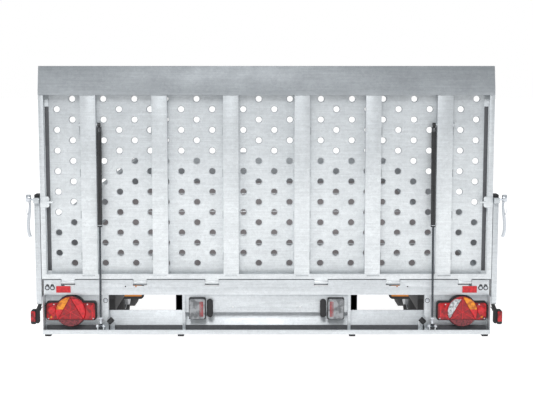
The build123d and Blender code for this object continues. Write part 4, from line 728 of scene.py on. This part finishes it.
# ======================= reversing lamps, reflectors and marker lamps =======================
# Small lamps screwed to the thin panels: two fluted clear lamps beside the centre panel, two red
# reflectors under the hinge beam, and a marker lamp on a flexible rubber arm at each corner.
back_low, back_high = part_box("reversing_lamps")
half_wide = 0.039
back_x = back_high.x - half_wide
rear_boxes, flutes, inners = [], [], []
for side in (-1, 1):
    low_x, high_x = side * back_x - half_wide, side * back_x + half_wide
    rear_boxes.append(slab("box", (low_x, back_low.y + 0.010, back_low.z),
                           (high_x, back_high.y, back_high.z), 0.006, 0.002))
    flutes.append(slab("lens", (low_x + 0.003, back_low.y, back_low.z + 0.003),
                       (high_x - 0.003, back_low.y + 0.012, back_high.z - 0.004), 0.009, 0.003))
    inner_x = side * (back_x - 0.020)
    inners.append(slab("column", (inner_x - 0.008, back_low.y - 0.0006, back_low.z + 0.014),
                       (inner_x + 0.008, back_low.y + 0.001, back_high.z - 0.016), 0.003, 0.0003))
    for step in range(9):
        flute_x = side * back_x + (step - 4) * 0.0066 + side * 0.004
        flutes.append(rod("flute", (flute_x, back_low.y + 0.0004, back_low.z + 0.014),
                          (flute_x, back_low.y + 0.0004, back_high.z - 0.016), 0.0016, sides=8))
smoked = lens("smoked_clear_lens", "#5d5f62", "#a3a5a8", 0.005, 0.025)
hang("reversing_lamp_boxes", rear_boxes, "chassis", black_plastic, "black_plastic")
hang("reversing_lamp_lenses", flutes, "chassis", smoked, "clear_lens", "reversing_lamps")
hang("reversing_lamp_columns", inners, "chassis", red_dark, "red_lens")

recast("reflectors", "moulded", "chassis", red_bright, "red_lens", 0.0012)

arm_low, arm_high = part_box("marker_lamps")
recast("marker_lamps", "moulded", "chassis", rubber, "moulded_rubber", 0.002, name="marker_arms_moulded")
arm_y = (arm_low.y + arm_high.y) / 2
red_markers, white_markers = [], []
for side in (-1, 1):
    tail_x = side * (arm_high.x - 0.001)
    tail = sorted((tail_x, side * (arm_high.x - 0.022)))
    red_markers.append(slab("red", (tail[0], arm_low.y - 0.0008, arm_low.z + 0.012),
                            (tail[1], arm_y - 0.0005, arm_low.z + 0.062), 0.004, 0.002))
    white_markers.append(slab("white", (tail[0], arm_y + 0.0005, arm_low.z + 0.012),
                              (tail[1], arm_high.y + 0.0008, arm_low.z + 0.062), 0.004, 0.002))
hang("marker_red_lenses", red_markers, "chassis", red_lens, "red_lens")
hang("marker_white_lenses", white_markers, "chassis", clear_lens, "clear_lens")

# ======================= ramp struts =======================
# Gas struts that carry the ramp: a black enamelled cylinder over a chrome rod painted dark grey
# for the dark surroundings it reflects, each with a pinned zinc eye. The rod's foot is bolted to
# the rear frame, the cylinder's to the ramp.
STRUT_TOP = (-2.897, 1.322)     # y and z of each strut's pins
STRUT_FOOT = (-2.946, 0.389)
black_enamel = mottled("black_enamelled_steel", "#121315", "#1e1f22", 0.06, (0.22, 0.36), 0.003, 0.00015,
                       more={"IOR": 1.5, "Coat Weight": 0.4})
# Painted reflection: the chrome rod's dark grey.
rod_dark_reflection = mottled("chrome_rod_painted_reflection", "#3f4246", "#5c6065", 0.02, (0.14, 0.26), 0.0006, 0.00003, 0.9)
for name in ("left", "right"):
    dress(black_enamel, "strut_cylinder_" + name)
    dress(rod_dark_reflection, "strut_rod_" + name)
    low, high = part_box("strut_cylinder_" + name)
    top = Vector(((low.x + high.x) / 2, *STRUT_TOP))
    foot = Vector((top.x, *STRUT_FOOT))
    along = (foot - top).normalized()
    parts = [rod("collar", top + along * 0.014, top + along * 0.034, 0.0115, width=0.002),
             rod("collar", top + along * 0.030, top + along * 0.040, 0.0085, width=0.001)]
    gland_at = (top.z - low.z) / -along.z - 0.006
    parts.append(rod("gland", top + along * (gland_at - 0.004), top + along * (gland_at + 0.005), 0.0125,
                     width=0.0015, tip=0.009))
    hang("strut_fittings_" + name, parts, "strut_cylinder_" + name, bolt_zinc, "zinc_plated_steel")
    clevis = [rod("clevis", foot - along * 0.012, foot - along * 0.036, 0.0075, width=0.0015),
              rod("nut", foot - along * 0.034, foot - along * 0.042, 0.0095, sides=6, width=0.0005)]
    hang("strut_foot_" + name, clevis, "strut_rod_" + name, bolt_zinc, "zinc_plated_steel")

# ======================= ramp latches =======================
# A cranked handle forged from round bar turns a hook over the ramp's keeper, and a sprung wire
# clip hangs from each to lock it. Zinc plated and a little worn where it is held.
CLIP_Y, CLIP_Z = -2.9305, 0.968
CLIP_SHAPE = ((0.000, 0.000), (0.006, -0.020), (0.004, -0.052), (-0.005, -0.060), (-0.010, -0.046),
              (-0.006, -0.018))
for name, side in (("left", -1), ("right", 1)):
    body = "latch_" + name
    recast("latch_lever_" + name, "forged", body, bolt_zinc, "zinc_plated_steel", 0.001,
           name=body + "_forged")
    low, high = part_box("latch_lever_" + name)
    outer = high.x if side > 0 else low.x
    bends = [Vector((outer - side * (0.011 + x), CLIP_Y, CLIP_Z + z)) for x, z in CLIP_SHAPE]
    clip = [rod("wire", start, end, 0.0013, sides=8) for start, end in zip(bends, bends[1:])]
    hang(body + "_wire_clip", clip, body, bolt_zinc, "zinc_plated_steel")

# ======================= bed: rails, floor, side walls and headboard =======================
# A welded box-section frame, hot-dip galvanised, carries a phenolic-faced plywood floor; low
# folded side walls and a headboard stand on it, each with pressed stiffening ridges.
RIVET_STEP = 0.35
RIDGE_RADIUS = 0.008
RIDGE_SINK = 0.0052             # how far a ridge's middle lies inside the wall's face
TREAD_STEP = 0.36
# Phenolic-faced plywood: dull brown-grey film, pressed with a fine mesh, scuffed paler by hooves.
plywood = mottled("phenolic_faced_plywood", "#7c7474", "#9d9595", 0.12, (0.5, 0.7), 0.0035, 0.0008,
                  more={"IOR": 1.5})
rail_zinc = galvanised("galvanised_rail_steel", "#cfd3d6", "#aab0b4", 0.3, 0.8, patch_share=0.5)
chassis_black = mottled("black_powder_coated_steel", "#151618", "#27282b", 0.09, (0.35, 0.55), 0.002, 0.0002,
                        more={"IOR": 1.5})
for node in ("side_rails", "cross_members", "side_walls", "headboard"):
    recast(node, "folded", "chassis", rail_zinc, "galvanised_steel", 0.0012)
recast("main_rails", "coated", "chassis", chassis_black, "black_coated_steel", 0.003)
recast("floor_panel", "plywood", "chassis", plywood, "plywood", 0.0012)

wall_low, wall_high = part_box("side_walls")
floor_low, floor_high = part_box("floor_panel")
head_low, head_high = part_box("headboard")
# Two pressed ridges run along each wall's outer face, and rivets fix its foot to the rail.
wall_x, head_y = wall_high.x - RIDGE_SINK, head_high.y - RIDGE_SINK
runs = [((side * wall_x, wall_low.y + 0.10), (side * wall_x, wall_high.y - 0.10)) for side in (-1, 1)]
runs.append(((head_low.x + 0.10, head_y), (head_high.x - 0.10, head_y)))
ridges = [rod("ridge", (*start, floor_high.z + rise), (*end, floor_high.z + rise), RIDGE_RADIUS, sides=12,
              width=0.002) for rise in (0.06, 0.135) for start, end in runs]
rivets = []
for side in (-1, 1):
    rivet_y = wall_low.y + 0.12
    while rivet_y < wall_high.y - 0.05:
        seat = Vector((side * (wall_high.x - 0.0009), rivet_y, floor_high.z + 0.018))
        rivets.append(rod("rivet", seat, seat + Vector((side * 0.0009, 0, 0)), 0.0055, sides=12,
                          tip=0.0035))
        rivet_y += RIVET_STEP
hang("wall_ridges", ridges, "chassis", rail_zinc, "galvanised_steel")
hang("wall_rivets", rivets, "chassis", bolt_zinc, "zinc_plated_steel")

# Floor treads: thin aluminium strips screwed across the floor, where animals need a foothold.
treads, tread_screws = [], []
tread_y = floor_low.y + 0.30
while tread_y < floor_high.y - 0.10:
    treads.append(rod("tread", (-0.97, tread_y, floor_high.z), (0.97, tread_y, floor_high.z), 0.006,
                      sides=12, width=0.001))
    for screw_x in (-0.93, -0.31, 0.31, 0.93):
        seat = Vector((screw_x, tread_y - 0.018, floor_high.z))
        tread_screws.append(rod("screw", seat - Vector((0, 0, 0.001)), seat + Vector((0, 0, 0.0012)), 0.005,
                                sides=12, tip=0.004))
    tread_y += TREAD_STEP
aluminium = mottled("extruded_aluminium", "#b9bcbf", "#d6d8da", 0.03, (0.28, 0.45), 0.0009, 0.0001,
                    0.95)
hang("floor_treads", treads, "chassis", aluminium, "zinc_plated_steel")
hang("floor_screws", tread_screws, "chassis", bolt_zinc, "zinc_plated_steel")

# ======================= axles and swing arms =======================
# Rubber torsion suspension: a square galvanised tube across the rails for each axle, a forged
# arm keyed to its inner bar at each end, and a short stub that carries the wheel.
recast("axle_tubes", "galvanised", "chassis", rail_zinc, "galvanised_steel", 0.002)
cast_black = mottled("painted_forged_steel", "#1a1b1d", "#303236", 0.05, (0.45, 0.65), 0.004, 0.0006,
                     more={"IOR": 1.5})
CORNERS = [along + "_" + across for along in ("rear", "front") for across in ("left", "right")]
ARM_FACE = 0.832                # outer face of the swing arms, from the middle
ARM_EYE = 0.034                 # eye's middle from the arm's top and front
HUB_Z = 0.233
for corner in CORNERS:
    dress(cast_black, "swing_arm_" + corner)
    low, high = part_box("swing_arm_" + corner)
    side = 1 if high.x > 0 else -1
    eye = Vector((side * (ARM_FACE - 0.0005), high.y - ARM_EYE, high.z - ARM_EYE))
    hub = Vector((eye.x, low.y + 0.030, HUB_Z))
    parts = [bolt("arm_bolt", eye, (side, 0, 0), across=0.019)]
    for share in (0.25, 0.5, 0.75):
        spot = eye.lerp(hub, share) - Vector((side * 0.0003, 0, 0))
        parts.append(rod("forge_mark", spot, spot + Vector((side * 0.0012, 0, 0)), 0.006, sides=16,
                         tip=0.0045))
    hang("arm_bolts_" + corner, parts, "swing_arm_" + corner, bolt_zinc, "zinc_plated_steel")

# ======================= wheels and tyres =======================
# Low wide tyres on pressed steel rims: five nuts round a greased hub cap, vent slots in the
# disc, a rubber valve, and a tread of staggered blocks with fine cuts along the shoulders.
TREAD_BLOCKS = 44
TREAD_ROWS = ((-0.052, 0.022), (-0.026, 0.022), (0.0, 0.022), (0.026, 0.022), (0.052, 0.018))
VENTS = 10
NUTS = 5
DISC_X = 0.930                  # outer faces of the disc, the nuts and the hub, from the middle
NUT_X = 0.946
CAP_X = 0.9545
NUT_CIRCLE = 0.056
VENT_CIRCLE = 0.093
rim_silver = mottled("silver_painted_steel", "#a7aaad", "#c2c5c8", 0.04, (0.32, 0.45), 0.003, 0.0002, 0.5)
# Tyre rubber: nearly black, dusty and greyer on the tread, matt with a fine grain.
tyre_rubber = mottled("tyre_rubber", "#141415", "#29292a", 0.03, (0.7, 0.88), 0.0012, 0.0003,
                      more={"IOR": 1.52})


def on_wheel(hub, x, circle, index, count):
    """A point of a ring of them, round a wheel's axle at a given distance across the trailer."""
    angle = 2 * math.pi * index / count
    return hub + Vector((x, circle * math.cos(angle), circle * math.sin(angle)))


def turned(piece, hub, angle):
    """A copy of a piece with its own mesh, turned about a wheel's axle."""
    made = bpy.data.objects.new(piece.name, piece.data.copy())
    bpy.context.scene.collection.objects.link(made)
    made.data.transform(
        Matrix.Translation(hub) @ Matrix.Rotation(angle, 4, "X") @ Matrix.Translation(-hub))
    return made


vent_black = mottled("shadowed_vent_steel", "#0e0f10", "#18191b", 0.02, (0.6, 0.8), 0.002, 0.0002, 0.3)
for corner in CORNERS:
    dress(rim_silver, "wheel_" + corner)
    low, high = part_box("tyre_" + corner)
    side = 1 if high.x > 0 else -1
    hub = Vector((0, (low.y + high.y) / 2, (low.z + high.z) / 2))
    body = "wheel_" + corner
    outward = Vector((side, 0, 0))
    half = (high.x - low.x) / 2
    middle = (high.x + low.x) / 2
    recast("tyre_" + corner, "moulded", body, tyre_rubber, "tyre_rubber", 0.004)
    # Grooves are the gaps between thin tread blocks laid round the crown.
    lugs = []
    for row, (offset, wide) in enumerate(TREAD_ROWS):
        lug = bar("tread_block", (middle + offset - wide / 2, hub.y - 0.0125, high.z - 0.010),
                  (middle + offset + wide / 2, hub.y + 0.0125, high.z - 0.0002), 0.0012, 1)
        lugs += [turned(lug, hub, 2 * math.pi * (step + (row % 2) / 2) / TREAD_BLOCKS)
                 for step in range(TREAD_BLOCKS)]
        bpy.data.objects.remove(lug)
    hang("tread_" + corner, lugs, body, tyre_rubber, "tyre_rubber")
    # Nuts, hub cap and valve, and dark pressed vents round the disc, their near-black a painted shade in the
    # holes.
    parts = []
    for index in range(NUTS):
        seat = on_wheel(hub, side * NUT_X, NUT_CIRCLE, index, NUTS)
        parts.append(rod("nut", seat - outward * 0.010, seat + outward * 0.0022, 0.0105, sides=6,
                         width=0.0008, tip=0.0095))
        parts.append(rod("stud", seat, seat + outward * 0.006, 0.0058, sides=12, width=0.0008))
    cap_seat = hub + outward * CAP_X
    parts.append(rod("cap", cap_seat - outward * 0.002, cap_seat + outward * 0.008, 0.031, sides=40,
                     width=0.003, tip=0.026))
    hang("wheel_nuts_" + corner, parts, body, bolt_zinc, "zinc_plated_steel")
    vents = []
    for index in range(VENTS):
        seat = on_wheel(hub, side * DISC_X, VENT_CIRCLE, index + 0.5, VENTS)
        vents.append(rod("vent", seat - outward * 0.001, seat + outward * 0.0012, 0.0115, tip=0.0105))
    hang("wheel_vents_" + corner, vents, body, vent_black, "wheel_steel")
    rings = []
    for inset, thick, round_hub in ((0.0065, 0.006, 0.150), (0.0040, 0.003, 0.188)):
        bpy.ops.mesh.primitive_torus_add(
            location=(middle + side * (half - inset), hub.y, hub.z), rotation=(0, math.pi / 2, 0),
            major_radius=round_hub, minor_radius=thick, major_segments=64, minor_segments=8)
        rings.append(settle("ring"))
    stem = hub + Vector((side * (DISC_X + 0.001), 0.0, 0.112))
    rings.append(rod("valve", stem, stem + Vector((side * 0.020, 0, -0.004)), 0.0045, sides=12,
                     width=0.001, tip=0.0035))
    hang("tyre_rings_" + corner, rings, body, tyre_rubber, "tyre_rubber")

# ======================= mudguards, splash panels and mudflaps =======================
# Black sheet over each pair of wheels, a flat splash panel inboard of them, and a rubber flap
# behind with a plain orange stick-on reflector; all bolted under the bed.
FILM_IN = 0.725
FILM_OUT = 0.830
FILM_LOW = 0.252
FILM_HIGH = 0.340
FLAP_FACE = -1.557
MIDDLE_BOLT_Y = -0.9
recast("mudguards", "formed", "chassis", chassis_black, "black_coated_steel", 0.0012, angle=40)
recast("splash_guards", "cut", "chassis", rubber, "moulded_rubber", 0.0008)
guard_low, guard_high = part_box("mudguards")
orange_film = mottled("orange_reflective_film", "#b8791f", "#f08a1e", 0.02, (0.3, 0.45), 0.002, 0.0001,
                      more={"IOR": 1.5})
films, guard_bolts = [], []
for side in (-1, 1):
    film_x = sorted((side * FILM_IN, side * FILM_OUT))
    films.append(slab("film", (film_x[0], FLAP_FACE - 0.0008, FILM_LOW),
                      (film_x[1], FLAP_FACE + 0.0002, FILM_HIGH), 0.005, 0.0002))
    for bolt_y in (guard_low.y + 0.15, MIDDLE_BOLT_Y, guard_high.y - 0.15):
        guard_bolts.append(bolt("guard_bolt", (side * 0.845, bolt_y, guard_high.z - 0.004), (0, 0, -1),
                                across=0.013))
hang("mudflap_films", films, "chassis", orange_film, "red_lens")
hang("mudguard_bolts", guard_bolts, "chassis", bolt_zinc, "zinc_plated_steel")

# ======================= drawbar and overrun device =======================
# Two folded galvanised arms meet at a nose plate that carries the cast overrun housing. The
# drawtube slides in it under a rubber bellows when the trailer pushes, and works the brakes.
BELLOWS_RINGS = 9
RING_CUTS = 6                   # rows of points in each fold of the bellows
FOLD_MIDDLE = 0.0335
FOLD_HEIGHT = 0.0045
CUFF_RADIUS = 0.0300
DRAWTUBE_RADIUS = 0.025
recast("drawbar_arms", "folded", "chassis", rail_zinc, "galvanised_steel", 0.003)
cast_iron = mottled("painted_cast_iron", "#3a3c3f", "#55585c", 0.04, (0.5, 0.68), 0.0022, 0.0008,
                    0.2, more={"IOR": 1.5})
head_zinc = mottled("zinc_plated_casting", "#9da1a6", "#bfc3c8", 0.03, (0.32, 0.5), 0.002, 0.0005, 0.85)
recast("overrun_housing", "cast", "chassis", cast_iron, "cast_iron", 0.003, 3)
recast("coupling_head", "cast", "coupling", head_zinc, "zinc_plated_steel", 0.003, 3)
drawtube_steel = mottled("greased_chromed_steel", "#a9adb2", "#cfd3d8", 0.02, (0.1, 0.24), 0.0006,
                         0.00003, 0.95)
dress(drawtube_steel, "drawtube")

housing_low, housing_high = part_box("overrun_housing")
tow_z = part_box("drawtube")[0].z + DRAWTUBE_RADIUS
start = housing_high.y + 0.001
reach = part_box("coupling_head")[0].y - 0.0005 - start
# The bellows: a run of soft folds, smooth at root and crown, with a plain cuff at each end.
bpy.ops.object.select_all(action="DESELECT")
bpy.ops.mesh.primitive_cylinder_add(vertices=48, radius=0.036, depth=reach, end_fill_type="NOTHING",
                                    location=(0, start + reach / 2, tow_z), rotation=(math.pi / 2, 0, 0))
bellows = settle("gaiter_bellows")
bpy.ops.object.mode_set(mode="EDIT")
for step in range(1, BELLOWS_RINGS * RING_CUTS):
    bpy.ops.mesh.select_all(action="SELECT")
    bpy.ops.mesh.bisect(
        plane_co=(0, start + reach * step / (BELLOWS_RINGS * RING_CUTS), 0), plane_no=(0, 1, 0))
bpy.ops.object.mode_set(mode="OBJECT")
for vertex in bellows.data.vertices:
    share = (vertex.co.y - start) / reach
    wave = math.cos(2 * math.pi * BELLOWS_RINGS * share)
    radius = FOLD_MIDDLE - FOLD_HEIGHT * wave if 0.03 < share < 0.97 else CUFF_RADIUS
    out = Vector((vertex.co.x, vertex.co.z - tow_z)).normalized() * radius
    vertex.co.x, vertex.co.z = out.x, tow_z + out.y
skin = bellows.modifiers.new("wall", "SOLIDIFY")
skin.thickness = 0.0018
skin.offset = -1.0
apply_modifiers(bellows)
fit(bellows, "chassis", rubber, "moulded_rubber", "gaiter", angle=60)
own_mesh(bellows)

# A band clips the bellows' cuff, four bolts hold the flange, and a nipple greases the tube.
band_y = housing_high.y - 0.006
band = rod("housing_band", (0, band_y - 0.004, tow_z), (0, band_y + 0.004, tow_z), 0.0412, sides=48,
           width=0.0008)
fit(band, "chassis", bolt_zinc, "zinc_plated_steel")
front_bolts = [bolt("flange_bolt", (x, housing_low.y + 0.014, tow_z + rise), (0, 1, 0), across=0.013)
               for x in (-0.066, 0.066) for rise in (0.030, -0.030)]
hang("housing_bolts", front_bolts, "chassis", bolt_zinc, "zinc_plated_steel")
nipple_y = housing_high.y - 0.08
nipple = rod("grease_nipple", (-0.025, nipple_y, tow_z + 0.030), (-0.031, nipple_y, tow_z + 0.041),
             0.004, sides=12, width=0.0006, tip=0.0022)
fit(nipple, "chassis", bolt_zinc, "zinc_plated_steel")

# ======================= coupling handle and handbrake =======================
# Pressed steel lift handle over the ball latch, zinc plated; the handbrake is a black flat
# lever with a ringed rubber grip pushed over its end, held by one nut on its pivot.
BRAKE_PIVOT_Y = 2.520
BRAKE_PIVOT_Z = 0.520
GRIP_RINGS = 7
recast("coupling_handle", "pressed", "coupling_handle", head_zinc, "zinc_plated_steel", 0.0015)
recast("handbrake_lever", "flat", "handbrake", black_enamel, "black_coated_steel", 0.0012)
lever_low, lever_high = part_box("handbrake_lever")
grip_end = Vector((lever_high.x - 0.004, lever_high.y - 0.004, lever_high.z - 0.0095))
along = (Vector((grip_end.x, BRAKE_PIVOT_Y, BRAKE_PIVOT_Z)) - grip_end).normalized()
rings = [rod("grip", grip_end + along * 0.004, grip_end + along * 0.120, 0.0135, sides=32, width=0.004,
             tip=0.0125)]
for step in range(GRIP_RINGS):
    spot = grip_end + along * (0.020 + step * 0.013)
    rings.append(rod("ring", spot, spot + along * 0.004, 0.0145, sides=32, width=0.0012))
hang("handbrake_grip", rings, "handbrake", rubber, "moulded_rubber")
nut = bolt("handbrake_nut", (lever_low.x + 0.0255, BRAKE_PIVOT_Y, BRAKE_PIVOT_Z), (1, 0, 0))
fit(nut, "handbrake", bolt_zinc, "zinc_plated_steel")

# ======================= jockey wheel =======================
# A clamped tube with a screw inside: cranking the top handle lowers a forked castor with a
# solid rubber tyre on a steel hub, and the clamp lets the whole leg be pulled up for the road.
HUB_RIVETS = 6
recast("jockey_clamp", "cast", "chassis", head_zinc, "zinc_plated_steel", 0.002)
recast("jockey_crank", "forged", "jockey_crank", bolt_zinc, "zinc_plated_steel", 0.0012)
recast("jockey_fork", "folded", "jockey_fork", bolt_zinc, "zinc_plated_steel", 0.0012)
tube_zinc = mottled("zinc_plated_tube", "#a4a8ad", "#c6cacf", 0.05, (0.26, 0.42), 0.0015, 0.0001, 0.9)
dress(tube_zinc, "jockey_tube", "jockey_inner")
crank_low, crank_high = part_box("jockey_crank")
knob_top = Vector((crank_low.x + 0.010, (crank_low.y + crank_high.y) / 2, crank_high.z - 0.002))
knob = rod("jockey_crank_knob", knob_top - Vector((0, 0, 0.068)), knob_top, 0.0145, sides=32, width=0.004,
           tip=0.0128)
fit(knob, "jockey_crank", black_plastic, "black_plastic")
tube_low, tube_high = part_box("jockey_tube")
collar_top = Vector(((tube_low.x + tube_high.x) / 2, (tube_low.y + tube_high.y) / 2, tube_high.z - 0.002))
collar = rod("jockey_tube_collars", collar_top - Vector((0, 0, 0.018)), collar_top, 0.0265, sides=40,
             width=0.002)
fit(collar, "jockey_tube", tube_zinc, "zinc_plated_steel")

wheel_low, wheel_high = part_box("jockey_wheel")
axle = (wheel_low + wheel_high) / 2
solid_rubber = mottled("solid_grey_rubber", "#2a2a2b", "#3d3d3e", 0.02, (0.6, 0.78), 0.0010, 0.0003,
                       more={"IOR": 1.52})
dress(solid_rubber, "jockey_wheel")
hubs = []
for side in (-1, 1):
    outward = Vector((side, 0, 0))
    face = axle + outward * (wheel_high.x - wheel_low.x) / 2
    hubs.append(rod("disc", face - outward * 0.001, face + outward * 0.0012, 0.058, sides=48,
                    width=0.0008, tip=0.056))
    for index in range(HUB_RIVETS):
        seat = on_wheel(face, side * 0.0010, 0.040, index, HUB_RIVETS)
        hubs.append(rod("rivet", seat, seat + outward * 0.0010, 0.004, sides=12, tip=0.003))
hang("jockey_wheel_hub", hubs, "jockey_wheel", rim_silver, "wheel_steel")
